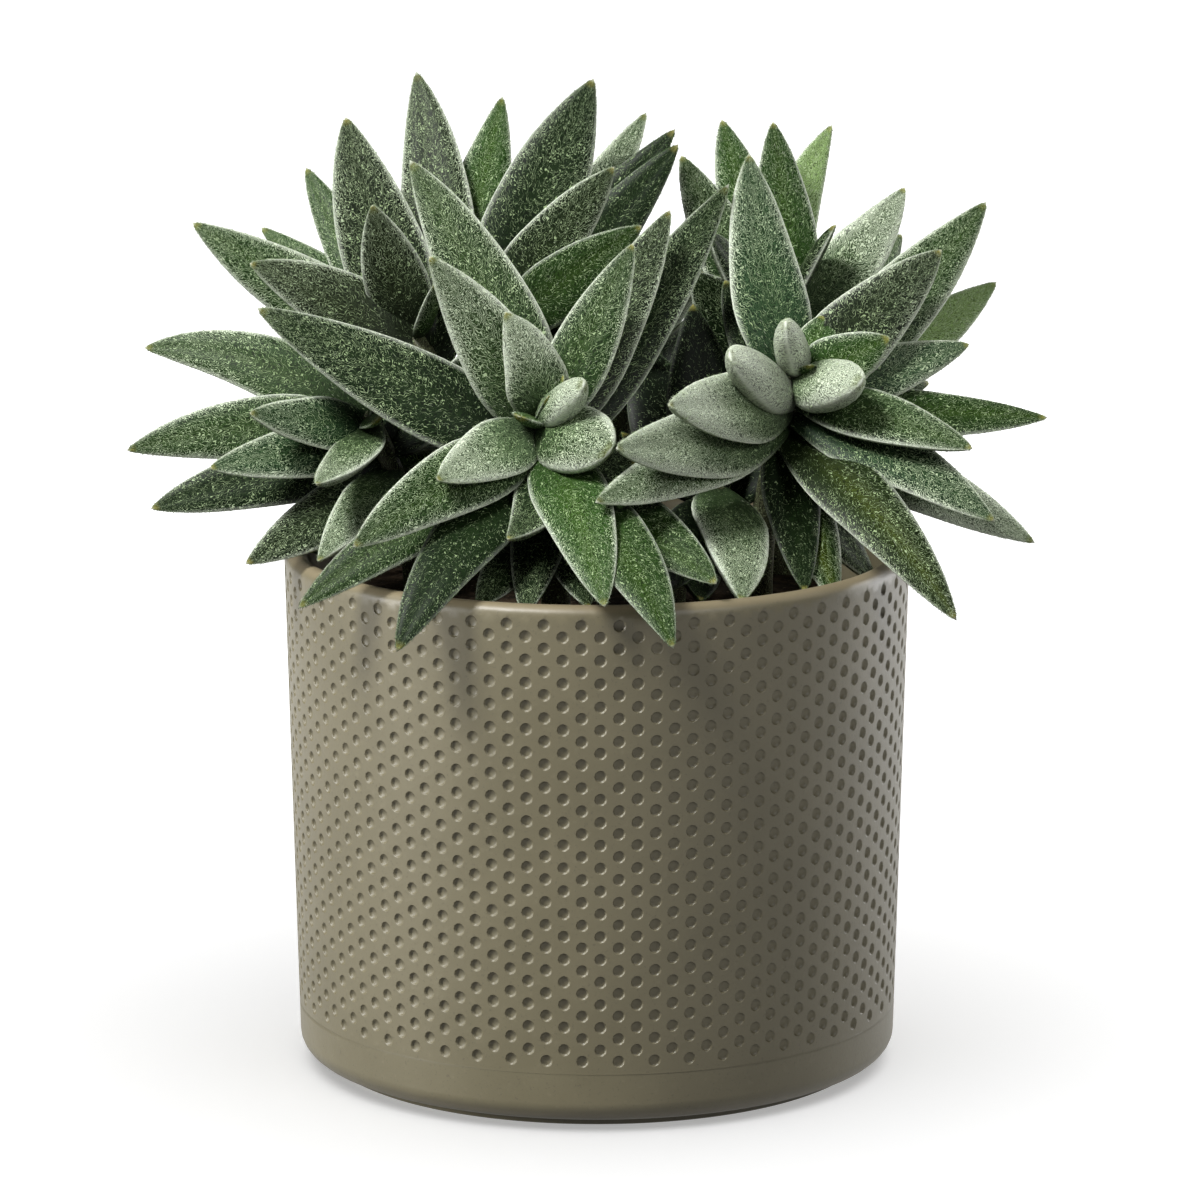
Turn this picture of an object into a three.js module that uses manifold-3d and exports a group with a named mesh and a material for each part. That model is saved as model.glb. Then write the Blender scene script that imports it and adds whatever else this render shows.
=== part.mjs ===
// A potted succulent: a dimpled clay pot, the soil in it and the leafy stems that stand in the soil.
// Millimetres, +Z up. The origin is the middle of the flat foot and the front of the plant faces -Y.
import * as THREE from "three";
import { mergeVertices } from "three/addons/utils/BufferGeometryUtils.js";
import Module from "manifold-3d";

const manifold = await Module();
manifold.setup();
const { Manifold, Mesh: SolidMesh } = manifold;

// Pot: a round wall that narrows a little to the bottom, on a small flat foot.
const POT_RADIUS = 39;
const POT_HEIGHT = 65.2;
const POT_BOTTOM_RADIUS = 37.4;
const BOTTOM_ROUNDING = 2.6;
const BAND_HEIGHT = 7.4;
const BAND_STEP = 0.25;
const WALL = 3.0;
const FLOOR_HEIGHT = 4.5;
const FOOT_RADIUS = 34;
const FOOT_HEIGHT = 1.1;
const POT_SIDES = 56;

// Soil: fills the pot to below the rim and rises a little to the middle.
const SOIL_GAP = 0.3;
const SOIL_EDGE_HEIGHT = 57.5;
const SOIL_MIDDLE_HEIGHT = 60;
const HOLE_DEPTH = 8;
const HOLE_GAP = 0.3;
const HOLE_SIDES = 12;
const SOIL_SIDES = 36;

// Stems and leaves.
const STEM_RADIUS = 1.9;
const STEM_SIDES = 8;
const LEAF_THICKNESS = 0.36;
const LEAF_STATIONS = [0, 0.2, 0.48, 0.74, 0.92];
const BUD_STATIONS = [0, 0.36, 0.72, 0.93];
const BUD_WIDTH = 6;

// Sight frame: places are measured as they look from the front, in millimetres to the right and up
// in the plane of the pot's axis, and towards the viewer. The line of sight looks down a little.
const SIGHT_PITCH = THREE.MathUtils.degToRad(11.5);
const SIGHT_DISTANCE = 760;
const SIGHT_HEIGHT = 58.2;
const SIGHT_UP = new THREE.Vector3(0, Math.sin(SIGHT_PITCH), Math.cos(SIGHT_PITCH));
const SIGHT_NEAR = new THREE.Vector3(0, -Math.cos(SIGHT_PITCH), Math.sin(SIGHT_PITCH));

// A place in the part's frame from where it is seen. What is nearer looks larger, so it is drawn in.
function seen(right, up, near) {
  const shrink = (SIGHT_DISTANCE - near) / SIGHT_DISTANCE;
  return new THREE.Vector3(right * shrink, 0, SIGHT_HEIGHT)
    .addScaledVector(SIGHT_UP, up * shrink)
    .addScaledVector(SIGHT_NEAR, near);
}

// Leafy stems as seen from the front. heart is the growing point and foot is where the stem leaves
// the soil (x, y). Each leaf has its tip, how far below the heart it is rooted (low), its width
// (wide) and how far its upper face, which looks to the stem's axis, is turned to the viewer (show,
// 0 to 1). mid is how far its middle lies off a straight line, to the right, up and near, and thick
// is the thickness of a plump leaf as a share of its width. A leaf at the back, which isn't seen
// from the front, has its direction around the stem and its rise in degrees and its length instead
// of a tip, and arch is how far its middle rises.
const STEMS = {
  front: {
    heart: [-7, 22.5, 22],
    foot: [-5, -14],
    leaves: [
      { tip: [-23.4, 55, 12], low: 4, wide: 11.8, show: 0.9, mid: [1.5, 0, 0] },
      { tip: [-21, 43, 27], low: 3, wide: 10.2, show: 0.85, mid: [1, 0, 0] },
      { tip: [-11.5, 36, 27], low: 1, wide: 8.6, show: 0.8, mid: [1.2, 0, 0.8] },
      { tip: [4.6, 44.6, 20], low: 2, wide: 8.6, show: 0.75 },
      { tip: [9.2, 48.8, 10], low: 4, wide: 9.4, show: 0.85 },
      { tip: [16.5, 52, 3], low: 6, wide: 9.4, show: 0.85 },
      { tip: [-42.5, 36.5, 18], low: 5, wide: 11.2, show: 0.75 },
      { tip: [-20, 15, 36], low: 1, wide: 8.6, show: 0.7 },
      { tip: [1.6, 18.4, 33], low: 1, wide: 9.6, show: 0.7, thick: 0.5, young: true },
      { tip: [-1.6, 27, 31], low: 0, wide: 5.4, show: 0.4, thick: 0.8, young: true },
      { tip: [-9.8, 23, 28], low: 0, wide: 4, show: 0.3, young: true },
      { tip: [-6.2, 25.4, 27], low: 0, wide: 3, show: 0.3, young: true },
      { tip: [-4.2, 28.2, 24], low: 0, wide: 3, show: 0.3, young: true },
      { tip: [-30.5, 6.6, 40], low: 3, wide: 9.8, show: 0.7, mid: [0, 1.2, 1.6] },
      { tip: [-37.4, -1.1, 32], low: 6, wide: 9, show: 0.6, mid: [0, 1.8, 2.4] },
      { tip: [-25, -6.5, 42], low: 7, wide: 9.6, show: 0.5, mid: [-1, 2.4, 3.2] },
      { tip: [1, -0.9, 44], low: 3, wide: 10, show: 0.3, mid: [0.5, 1.2, 1.6] },
      { tip: [9.6, -6.1, 47], low: 8, wide: 9.6, show: 0.3, mid: [1, 2.4, 3.2] },
      { tip: [15, 2, 37], low: 8, wide: 9.4, show: 0.5, mid: [1, 0.6, -1] },
      { tip: [-11.2, 7.6, 38], low: 3, wide: 8, show: 0.3, mid: [2, -1, 0] },
      { tip: [-9, -2, 34.5], low: 9, wide: 7.4, show: 0.3 },
      { tip: [-1, -1, 34], low: 11, wide: 7, show: 0.3 },
      { tip: [-15, -1, 33], low: 12, wide: 7.4, show: 0.4 },
      { around: 85, rise: 25, long: 22, low: 7, wide: 8.6 },
      { around: 135, rise: 8, long: 20, low: 10, wide: 8.4 },
      { around: 40, rise: 0, long: 13, low: 10, wide: 7.6 },
      { tip: [5, 17, 14], low: 6, wide: 8, show: 0.5 },
    ],
  },
  right: {
    heart: [25.5, 28.5, 8],
    foot: [20, -2],
    leaves: [
      { tip: [16.6, 30.6, 24], low: 4, wide: 7.4, show: 0.5, thick: 0.7, young: true },
      { tip: [23.6, 34.6, 18], low: 0, wide: 5.4, show: 0.5, thick: 0.8, young: true },
      { tip: [33, 27.2, 20], low: 2, wide: 7.6, show: 0.6, thick: 0.75, young: true },
      { tip: [29, 35.5, 6], low: 1, wide: 5.6, show: 0.6, young: true },
      { tip: [36.6, 32.8, 12], low: 2, wide: 8.4, show: 0.85 },
      { tip: [26.6, 29.4, 15], low: 0, wide: 3, show: 0.3, young: true },
      { tip: [43.1, 43.8, 4], low: 3, wide: 10.6, show: 0.85 },
      { tip: [48.7, 49.8, -6], low: 5, wide: 11, show: 0.9, mid: [0.7, -0.5, 0] },
      { tip: [19, 55.8, 0], low: 3, wide: 11.2, show: 0.5, mid: [-0.7, 0, 0] },
      { tip: [50, 39.8, -10], low: 7, wide: 9.6, show: 0.9, mid: [0.4, -0.5, 0] },
      { tip: [46.6, 32, 2], low: 4, wide: 8, show: 0.85 },
      { tip: [56.4, 22.8, 2], low: 5, wide: 8.4, show: 0.6 },
      { tip: [47, 18.9, 18], low: 3, wide: 9.2, show: 0.5, mid: [0, 0.4, 0.8] },
      { tip: [49.8, 9.8, 18], low: 5, wide: 9.4, show: 0.6, mid: [0, 1.2, 1.6] },
      { tip: [54.8, 7.1, 6], low: 8, wide: 9, show: 0.75, mid: [0, 1.2, 1.6] },
      { tip: [45, -2.6, 26], low: 8, wide: 9.6, show: 0.6, mid: [0, 2, 3.2] },
      { tip: [9, 24.4, 33], low: 4, wide: 10.2, show: 0.75, mid: [0, -0.6, 0.8] },
      { tip: [2.4, 19, 37.5], low: 6, wide: 10.6, show: 0.75, mid: [0, -1.3, 0.8] },
      { tip: [-0.2, 12.2, 36.8], low: 6, wide: 9.2, show: 0.6, mid: [0, -0.6, 0.8] },
      { tip: [16, 40, -3], low: 4, wide: 8.8, show: 0.6 },
      { tip: [26, 1, 18.5], low: 8, wide: 8, show: 0.4 },
      { tip: [30, -0.5, 17], low: 9, wide: 8.6, show: 0.4 },
      { tip: [35, 2, 8], low: 11, wide: 8, show: 0.4 },
      { around: 85, rise: 14, long: 14, low: 8, wide: 8 },
      { around: 146, rise: 4, long: 12, low: 14.5, wide: 9, show: 0.8 },
      { around: 40, rise: -8, long: 20, low: 13, wide: 8.4 },
    ],
  },
  middle: {
    heart: [15, 14, 8],
    foot: [9, -9],
    leaves: [
      { tip: [18.1, -0.2, 32.6], low: 0, wide: 10.4, show: 0.6, mid: [0.6, 1, 0] },
      { tip: [8, 1, 33], low: 2, wide: 8, show: 0.3 },
      { tip: [13, 0, 30], low: 6, wide: 7.6, show: 0.3 },
      { tip: [12, 37, 1], low: 1, wide: 10.4, show: 0.8 },
      { tip: [3, 21, 4], low: 2, wide: 7, show: 0.5 },
      { tip: [5.4, 32, -2], low: 2, wide: 9.6, show: 0.75 },
    ],
  },
  left: {
    heart: [-28.5, 23, 10],
    foot: [-22, -6],
    leaves: [
      { tip: [-56.6, 31.5, 4], low: 2, wide: 9, show: 0.75, mid: [0.5, 3, 0] },
      { tip: [-58.8, 18.7, 10], low: 2, wide: 9, show: 0.75, mid: [0, 1.5, 0] },
      { tip: [-43.4, 23.4, 22], low: 1, wide: 7.6, show: 0.75, mid: [0, -0.5, 0] },
      { tip: [-48.4, 16.5, 20], low: 3, wide: 8.4, show: 0.7 },
      { tip: [-55.8, 11.4, 12], low: 5, wide: 9.2, show: 0.75, mid: [0, 0.6, 0] },
      { tip: [-43.9, 4.5, 18], low: 8, wide: 8.4, show: 0.75, mid: [0.5, 0.3, 0] },
      { tip: [-35.1, 14.5, 30], low: 1, wide: 7, show: 0.4, mid: [0.5, -0.5, 0] },
      { tip: [-34.9, 4.8, 26], low: 7, wide: 8, show: 0.5, mid: [1, 1, 0] },
      { tip: [-27.5, 22.6, 17], low: 0, wide: 4, show: 0.3, young: true },
      { tip: [-27.6, 26.6, 12], low: 0, wide: 4.4, show: 0.3, young: true },
      { tip: [-17.5, 26, 4], low: 5, wide: 7.6, show: 0.5 },
      { tip: [-16, 14, 8], low: 9, wide: 7.6, show: 0.5 },
      { around: 100, rise: 26, long: 18, low: 4, wide: 7.6 },
      { around: 140, rise: 8, long: 22, low: 6, wide: 8.4 },
      { around: 205, rise: -14, long: 14, low: 13, wide: 8 },
    ],
  },
  back_left: {
    heart: [-22.5, 33, -12],
    foot: [-14, 12],
    leaves: [
      { tip: [-31.4, 60.4, -16], low: 2, wide: 11.8, show: 0.9, mid: [-1, 0, 0] },
      { tip: [-22.6, 66.1, -24], low: 5, wide: 11.4, show: 0.9, mid: [1.5, 0, 0] },
      { tip: [-28.1, 49.4, -4], low: 0, wide: 8.8, show: 0.8, mid: [-0.3, 0, 0] },
      { tip: [-36.4, 54.1, -24], low: 5, wide: 8, show: 0.85, mid: [-1, 0, 0] },
      { tip: [-50.6, 47.2, -14], low: 3, wide: 10.2, show: 0.85, mid: [-0.4, -0.5, 0] },
      { tip: [-42, 46.6, -26], low: 5, wide: 8, show: 0.85 },
      { tip: [-43.4, 42.1, -4], low: 2, wide: 9.8, show: 0.8, mid: [-0.3, 0.7, 0] },
      { tip: [-20, 40, -4], low: 0, wide: 5, show: 0.3, young: true },
      { tip: [-11.8, 63, -26], low: 4, wide: 10, show: 0.9, mid: [0.6, 0, 0] },
      { around: 155, rise: 14, long: 21, low: 10, wide: 8.4 },
      { around: 120, rise: 40, long: 26, low: 8, wide: 8.8 },
      { around: 250, rise: 10, long: 14, low: 12, wide: 7 },
      { around: 325, rise: 40, long: 15, low: 7, wide: 7 },
      { around: 185, rise: 0, long: 22, low: 16, wide: 8.6 },
      { around: 215, rise: -16, long: 16, low: 21, wide: 8 },
    ],
  },
  back: {
    heart: [-14, 36, -12],
    foot: [-3, 14],
    leaves: [
      { tip: [-0.4, 65.2, -14], low: 2, wide: 13, show: 0.9, mid: [-0.5, 0, 0] },
      { tip: [2.2, 54.2, -4], low: 1, wide: 8.8, show: 0.85 },
      { tip: [9.8, 58.9, -14], low: 4, wide: 8.8, show: 0.85 },
      { tip: [6.2, 61, -24], low: 5, wide: 8.4, show: 0.85 },
      { tip: [10.2, 57, -12], low: 6, wide: 9.2, show: 0.85 },
      { tip: [5.6, 46.8, 2], low: 3, wide: 8.8, show: 0.85 },
      { tip: [-16, 42, -6], low: 0, wide: 5, show: 0.3, young: true },
      { around: 75, rise: 56, long: 28, low: 6, wide: 8.8 },
      { tip: [8, 34.5, -3], low: 5, wide: 8.4, show: 0.6 },
      { tip: [13.5, 41, -12], low: 7, wide: 8.8, show: 0.7 },
      { around: 320, rise: 24, long: 22, low: 12, wide: 8.4 },
      { around: 110, rise: 30, long: 18, low: 13, wide: 8 },
    ],
  },
  back_right: {
    heart: [25, 37, -16],
    foot: [14, 12],
    leaves: [
      { tip: [38.5, 51.6, -12], low: 3, wide: 9, show: 0.75, mid: [0.9, -0.6, 0] },
      { tip: [22, 59.8, -14], low: 1, wide: 8.8, show: 0.9 },
      { tip: [15.6, 60.1, -22], low: 3, wide: 9.4, show: 0.8, mid: [-0.3, 0, 0] },
      { tip: [29.4, 59.4, -22], low: 3, wide: 7.8, show: 0.7, mid: [-2.1, 0, 0] },
      { tip: [29.9, 46.9, -8], low: 1, wide: 6, show: 0.5 },
      { tip: [10.5, 55.6, -18], low: 5, wide: 9.4, show: 0.75, mid: [-0.5, 0, 0] },
      { tip: [14, 46, -6], low: 4, wide: 8, show: 0.6 },
      { around: 80, rise: 44, long: 26, low: 7, wide: 8.8 },
      { around: 110, rise: 52, long: 27, low: 7, wide: 8.8 },
      { tip: [11.8, 41, -8], low: 9, wide: 9.4, show: 0.8 },
      { around: 250, rise: 24, long: 12, low: 12, wide: 7 },
      { around: 0, rise: 14, long: 22, low: 12, wide: 8.6 },
      { around: 335, rise: -6, long: 18, low: 18, wide: 8 },
      { around: 20, rise: -8, long: 18, low: 18, wide: 8 },
    ],
  },
  rear_left: {
    heart: [-25, 29, -31],
    foot: [-19, 22],
    leaves: [
      { around: 135, rise: 60, long: 13, low: 0, wide: 5.6, young: true },
      { around: 300, rise: 66, long: 12, low: 0, wide: 5.4, young: true },
      { around: 218, rise: 28, long: 19, low: 1, wide: 7.6, young: true },
      { around: 50, rise: 42, long: 20, low: 1, wide: 7.6 },
      { around: 130, rise: 30, long: 30, low: 3, wide: 9.4 },
      { around: 176, rise: -6, long: 27, low: 5, wide: 9 },
      { around: 92, rise: 12, long: 32, low: 5, wide: 9.4 },
      { around: 138, rise: -4, long: 33, low: 9, wide: 9.6, arch: 2 },
      { around: 108, rise: -18, long: 30, low: 12, wide: 8.8, arch: 2 },
      { around: 160, rise: -22, long: 25, low: 13, wide: 8.8, arch: 2 },
      { around: 225, rise: -10, long: 15, low: 12, wide: 7.6 },
    ],
  },
  rear: {
    heart: [3, 31, -33],
    foot: [3, 25],
    leaves: [
      { around: 100, rise: 62, long: 14, low: 0, wide: 5.6, young: true },
      { around: 280, rise: 66, long: 13, low: 0, wide: 5.4, young: true },
      { around: 10, rise: 50, long: 21, low: 1, wide: 7.6, young: true },
      { around: 190, rise: 52, long: 21, low: 1, wide: 7.6 },
      { around: 90, rise: 40, long: 30, low: 3, wide: 9.4 },
      { around: 50, rise: 20, long: 32, low: 4, wide: 9.4 },
      { around: 128, rise: 24, long: 30, low: 4, wide: 9.4 },
      { around: 88, rise: 2, long: 35, low: 8, wide: 9.6, arch: 2 },
      { around: 66, rise: -18, long: 32, low: 12, wide: 8.8, arch: 2 },
      { around: 110, rise: -16, long: 31, low: 12, wide: 8.8, arch: 2 },
      { around: 20, rise: 0, long: 22, low: 9, wide: 8.4 },
      { around: 160, rise: 4, long: 20, low: 9, wide: 8.4 },
    ],
  },
  rear_right: {
    heart: [27, 28, -30],
    foot: [23, 17],
    leaves: [
      { around: 60, rise: 60, long: 13, low: 0, wide: 5.6, young: true },
      { around: 240, rise: 70, long: 10, low: 0, wide: 5, young: true },
      { around: 330, rise: 40, long: 17, low: 1, wide: 7, young: true },
      { around: 120, rise: 50, long: 20, low: 1, wide: 7.6 },
      { around: 58, rise: 36, long: 30, low: 3, wide: 9.4 },
      { around: 24, rise: 4, long: 18, low: 5, wide: 8 },
      { around: 84, rise: 20, long: 30, low: 5, wide: 9.4 },
      { around: 58, rise: 0, long: 32, low: 8, wide: 9.6, arch: 2 },
      { around: 30, rise: -16, long: 26, low: 12, wide: 8.8, arch: 2 },
      { around: 72, rise: -18, long: 31, low: 12, wide: 8.8, arch: 2 },
      { around: 345, rise: -10, long: 15, low: 14, wide: 7.6 },
    ],
  },
};

// A body from its points and triangles, as a solid that can be joined and cut.
function solidFrom(points, triangles) {
  const vertProperties = new Float32Array(points.flatMap((p) => [p.x, p.y, p.z]));
  const triVerts = new Uint32Array(triangles.flat());
  return new Manifold(new SolidMesh({ numProp: 3, vertProperties, triVerts }));
}

// A closed skin over rings of equal length: capStart and capEnd are the points that close it.
function skin(rings, capStart, capEnd) {
  const points = rings.flat();
  const sides = rings[0].length;
  const triangles = [];
  for (let ring = 0; ring + 1 < rings.length; ring++) {
    for (let side = 0; side < sides; side++) {
      const a = ring * sides + side;
      const b = ring * sides + ((side + 1) % sides);
      triangles.push([a, b, b + sides], [a, b + sides, a + sides]);
    }
  }
  const start = points.push(capStart) - 1;
  const end = points.push(capEnd) - 1;
  const last = (rings.length - 1) * sides;
  for (let side = 0; side < sides; side++) {
    const next = (side + 1) % sides;
    triangles.push([start, next, side], [end, last + side, last + next]);
  }
  return solidFrom(points, triangles);
}

// Width of a leaf along its length as a share of its greatest width: a slightly narrowed root, the
// widest stretch just before the middle and an acute tip.
function widthShare(s, young) {
  const fromRoot = 0.34 + 0.66 * Math.sin((Math.PI / 2) * Math.min(1, s / 0.42));
  const toTip = young ? (1 - s ** 4) ** 0.6 : (1 - s ** 2.8) ** 0.85;
  return fromRoot * toTip;
}

// Thickness along the length as a share of the greatest thickness.
function thicknessShare(s) {
  const fromRoot = 0.5 + 0.5 * Math.sin((Math.PI / 2) * Math.min(1, s / 0.3));
  return fromRoot * (1 - s ** 4) ** 0.7;
}

// The stem's course: it leaves the soil upright and bends to its heart.
function stemCurve(stem) {
  const [x, y] = stem.foot;
  const heart = seen(...stem.heart);
  const foot = new THREE.Vector3(x, y, SOIL_EDGE_HEIGHT);
  const bend = new THREE.Vector3(x, y, (foot.z + heart.z) / 2);
  return new THREE.QuadraticBezierCurve3(foot, bend, heart);
}

// From the root of a leaf at the back to its tip.
function reach({ around, rise, long }) {
  const [turn, lift] = [around, rise].map(THREE.MathUtils.degToRad);
  const level = long * Math.cos(lift);
  return new THREE.Vector3(level * Math.cos(turn), level * Math.sin(turn), long * Math.sin(lift));
}

// A leaf from the stem to its tip. Its upper face looks to the stem's axis, and is turned to the
// viewer by its show.
function leafSolid(curve, leaf) {
  const stemLength = curve.getLength();
  const rootAt = 1 - leaf.low / stemLength;
  const root = curve.getPointAt(rootAt);
  const axis = curve.getTangentAt(rootAt);
  const tip = leaf.tip ? seen(...leaf.tip) : root.clone().add(reach(leaf));
  const along = tip.clone().sub(root).normalize();
  const across = (vector) => vector.clone().addScaledVector(along, -vector.dot(along)).normalize();
  const face = across(axis).lerp(across(SIGHT_NEAR), leaf.show ?? 0).normalize();
  const [midRight, midUp, midNear] = leaf.mid ?? [0, 0, 0];
  const middle = root.clone().add(tip).multiplyScalar(0.5);
  middle.addScaledVector(SIGHT_UP, 2 * midUp).addScaledVector(SIGHT_NEAR, 2 * midNear);
  middle.addScaledVector(face, 2 * (leaf.arch ?? 0));
  middle.x += 2 * midRight;
  const spine = new THREE.QuadraticBezierCurve3(root, middle, tip);

  const thick = leaf.wide * (leaf.thick ?? LEAF_THICKNESS);
  const outline = [
    [-1, 0],
    [0, 0.16],
    [1, 0],
    [0.48, -0.78],
    [-0.48, -0.78],
  ];
  const stations = leaf.wide < BUD_WIDTH ? BUD_STATIONS : LEAF_STATIONS;
  const rings = stations.map((s) => {
    const centre = spine.getPoint(s);
    const forward = spine.getTangent(s);
    const up = face.clone().addScaledVector(forward, -face.dot(forward)).normalize();
    const side = forward.clone().cross(up);
    const halfWidth = (leaf.wide / 2) * widthShare(s, leaf.young);
    const thickness = thick * thicknessShare(s);
    return outline.map(([across, height]) =>
      centre
        .clone()
        .addScaledVector(side, across * halfWidth)
        .addScaledVector(up, height * thickness),
    );
  });
  return skin(rings, root, tip);
}

// The stem itself: a rod that reaches down into its hole in the soil.
function stemSolid(stem, curve) {
  const ring = (centre, radius) =>
    Array.from({ length: STEM_SIDES }, (_, side) => {
      const turn = (2 * Math.PI * side) / STEM_SIDES;
      return new THREE.Vector3(
        centre.x + radius * Math.cos(turn),
        centre.y + radius * Math.sin(turn),
        centre.z,
      );
    });
  const [x, y] = stem.foot;
  const bottom = new THREE.Vector3(x, y, holeBottom(stem));
  const rings = [ring(bottom, STEM_RADIUS)];
  for (let step = 0; step <= 4; step++) {
    rings.push(ring(curve.getPointAt(step / 4), STEM_RADIUS * (1 - 0.08 * step)));
  }
  const top = curve.getPointAt(1).add(new THREE.Vector3(0, 0, 0.8));
  return skin(rings, bottom, top);
}

// Height of the soil's surface at a distance from the pot's axis.
function soilHeight(radius) {
  const rise = SOIL_MIDDLE_HEIGHT - SOIL_EDGE_HEIGHT;
  return SOIL_MIDDLE_HEIGHT - rise * (radius / innerRadius(SOIL_EDGE_HEIGHT)) ** 2;
}

function holeBottom(stem) {
  return soilHeight(Math.hypot(...stem.foot)) - HOLE_DEPTH;
}

// Outer and inner radius of the pot's wall at a height.
function outerRadius(height) {
  return POT_BOTTOM_RADIUS + ((POT_RADIUS - POT_BOTTOM_RADIUS) * height) / POT_HEIGHT;
}

function innerRadius(height) {
  return outerRadius(height) - WALL;
}

// A turned body from its profile of radius and height, closed on the axis.
function turned(profile, sides) {
  const geometry = new THREE.LatheGeometry(
    profile.map(([radius, height]) => new THREE.Vector2(radius, height)),
    sides,
  );
  geometry.rotateX(Math.PI / 2);
  return geometry;
}

// Points on a quarter circle, from one angle to another in degrees.
function arc(centreRadius, centreHeight, radius, from, to, steps) {
  return Array.from({ length: steps + 1 }, (_, step) => {
    const angle = THREE.MathUtils.degToRad(from + ((to - from) * step) / steps);
    return [centreRadius + radius * Math.cos(angle), centreHeight + radius * Math.sin(angle)];
  });
}

function potProfile() {
  const rimRound = WALL / 2;
  const rimMiddle = outerRadius(POT_HEIGHT) - rimRound;
  const edge = FOOT_HEIGHT + BOTTOM_ROUNDING;
  return [
    [0, 0],
    [FOOT_RADIUS, 0],
    [FOOT_RADIUS, FOOT_HEIGHT],
    ...arc(outerRadius(edge) - BOTTOM_ROUNDING, edge, BOTTOM_ROUNDING, -90, 0, 3),
    [outerRadius(BAND_HEIGHT), BAND_HEIGHT - BAND_STEP],
    [outerRadius(BAND_HEIGHT) - BAND_STEP, BAND_HEIGHT],
    [outerRadius(BAND_HEIGHT), BAND_HEIGHT + BAND_STEP],
    ...arc(rimMiddle, POT_HEIGHT - rimRound, rimRound, 0, 180, 5),
    [innerRadius(FLOOR_HEIGHT + 2), FLOOR_HEIGHT + 2],
    [innerRadius(FLOOR_HEIGHT) - 2, FLOOR_HEIGHT],
    [0, FLOOR_HEIGHT],
  ];
}

function potSolid() {
  return solidOf(turned(potProfile(), POT_SIDES));
}

function soilSolid() {
  const edge = innerRadius(SOIL_EDGE_HEIGHT) - SOIL_GAP;
  const bottom = innerRadius(FLOOR_HEIGHT + 2) - SOIL_GAP;
  const profile = [
    [0, FLOOR_HEIGHT],
    [bottom - 2, FLOOR_HEIGHT],
    [bottom, FLOOR_HEIGHT + 2],
    [edge, SOIL_EDGE_HEIGHT],
    [edge * 0.7, soilHeight(edge * 0.7)],
    [edge * 0.35, soilHeight(edge * 0.35)],
    [0, SOIL_MIDDLE_HEIGHT],
  ];
  const holeRadius = STEM_RADIUS + HOLE_GAP;
  const holes = Object.values(STEMS).map((stem) =>
    Manifold.cylinder(2 * HOLE_DEPTH, holeRadius, holeRadius, HOLE_SIDES).translate([
      ...stem.foot,
      holeBottom(stem),
    ]),
  );
  return Manifold.difference([solidOf(turned(profile, SOIL_SIDES)), ...holes]);
}

// A three.js geometry as a solid.
function solidOf(geometry) {
  geometry.deleteAttribute("normal");
  geometry.deleteAttribute("uv");
  const welded = mergeVertices(geometry, 1e-4);
  const vertProperties = Float32Array.from(welded.attributes.position.array);
  const triVerts = Uint32Array.from(welded.index.array);
  return new Manifold(new SolidMesh({ numProp: 3, vertProperties, triVerts }));
}

// A solid as a mesh with flat faces.
function meshOf(name, solid, material) {
  const { vertProperties, triVerts } = solid.getMesh();
  const indexed = new THREE.BufferGeometry();
  indexed.setAttribute("position", new THREE.BufferAttribute(vertProperties, 3));
  indexed.setIndex(new THREE.BufferAttribute(triVerts, 1));
  const geometry = indexed.toNonIndexed();
  geometry.computeVertexNormals();
  const mesh = new THREE.Mesh(geometry, material);
  mesh.name = name;
  return mesh;
}

function leafyStem(stem) {
  const curve = stemCurve(stem);
  const leaves = stem.leaves.map((leaf) => leafSolid(curve, leaf));
  return outerShell(Manifold.union([stemSolid(stem, curve), ...leaves]));
}

// The body without the small closed hollows that are left where several leaf roots meet.
function outerShell(solid) {
  const shells = solid.decompose();
  return shells.reduce((largest, shell) => (shell.volume() > largest.volume() ? shell : largest));
}

const part = new THREE.Group();
const clay = () => new THREE.MeshStandardMaterial({ color: 0x8a8068, roughness: 0.75 });
const earth = () => new THREE.MeshStandardMaterial({ color: 0x3a2c20, roughness: 0.95 });
const leafGreen = () => new THREE.MeshStandardMaterial({ color: 0x6f8f70, roughness: 0.8 });
part.add(meshOf("pot", potSolid(), clay()));
part.add(meshOf("soil", soilSolid(), earth()));
for (const [name, stem] of Object.entries(STEMS)) {
  part.add(meshOf(`stem_${name}`, leafyStem(stem), leafGreen()));
}

export default part;
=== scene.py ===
# %% [markdown]
# # A potted tenelli crassula
#
# A tenelli crassula is a small succulent: thick pointed leaves in crossed pairs round each stem,
# covered with short white hairs. Here ten leafy stems grow from the soil of a small clay pot whose
# wall is pressed with rows of round dimples. The lesson sets the camera, makes the pot, the leaves,
# the hairs and the soil in turn, and ends with the studio.

# %% The frame from the CAD model
import bpy
import math
import numpy as np
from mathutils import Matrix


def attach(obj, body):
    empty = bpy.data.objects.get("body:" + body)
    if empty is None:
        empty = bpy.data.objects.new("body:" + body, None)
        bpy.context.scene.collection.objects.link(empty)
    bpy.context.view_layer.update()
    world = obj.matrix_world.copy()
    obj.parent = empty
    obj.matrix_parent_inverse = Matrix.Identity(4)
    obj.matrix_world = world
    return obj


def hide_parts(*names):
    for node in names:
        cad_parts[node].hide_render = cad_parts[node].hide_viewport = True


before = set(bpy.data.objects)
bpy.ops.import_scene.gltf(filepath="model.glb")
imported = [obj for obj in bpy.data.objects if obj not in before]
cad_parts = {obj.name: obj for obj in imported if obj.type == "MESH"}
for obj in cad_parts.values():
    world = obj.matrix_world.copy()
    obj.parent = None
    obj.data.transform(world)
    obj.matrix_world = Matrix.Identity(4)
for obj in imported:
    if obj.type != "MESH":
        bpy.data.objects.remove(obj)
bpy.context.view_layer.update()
MM = 0.001

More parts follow.
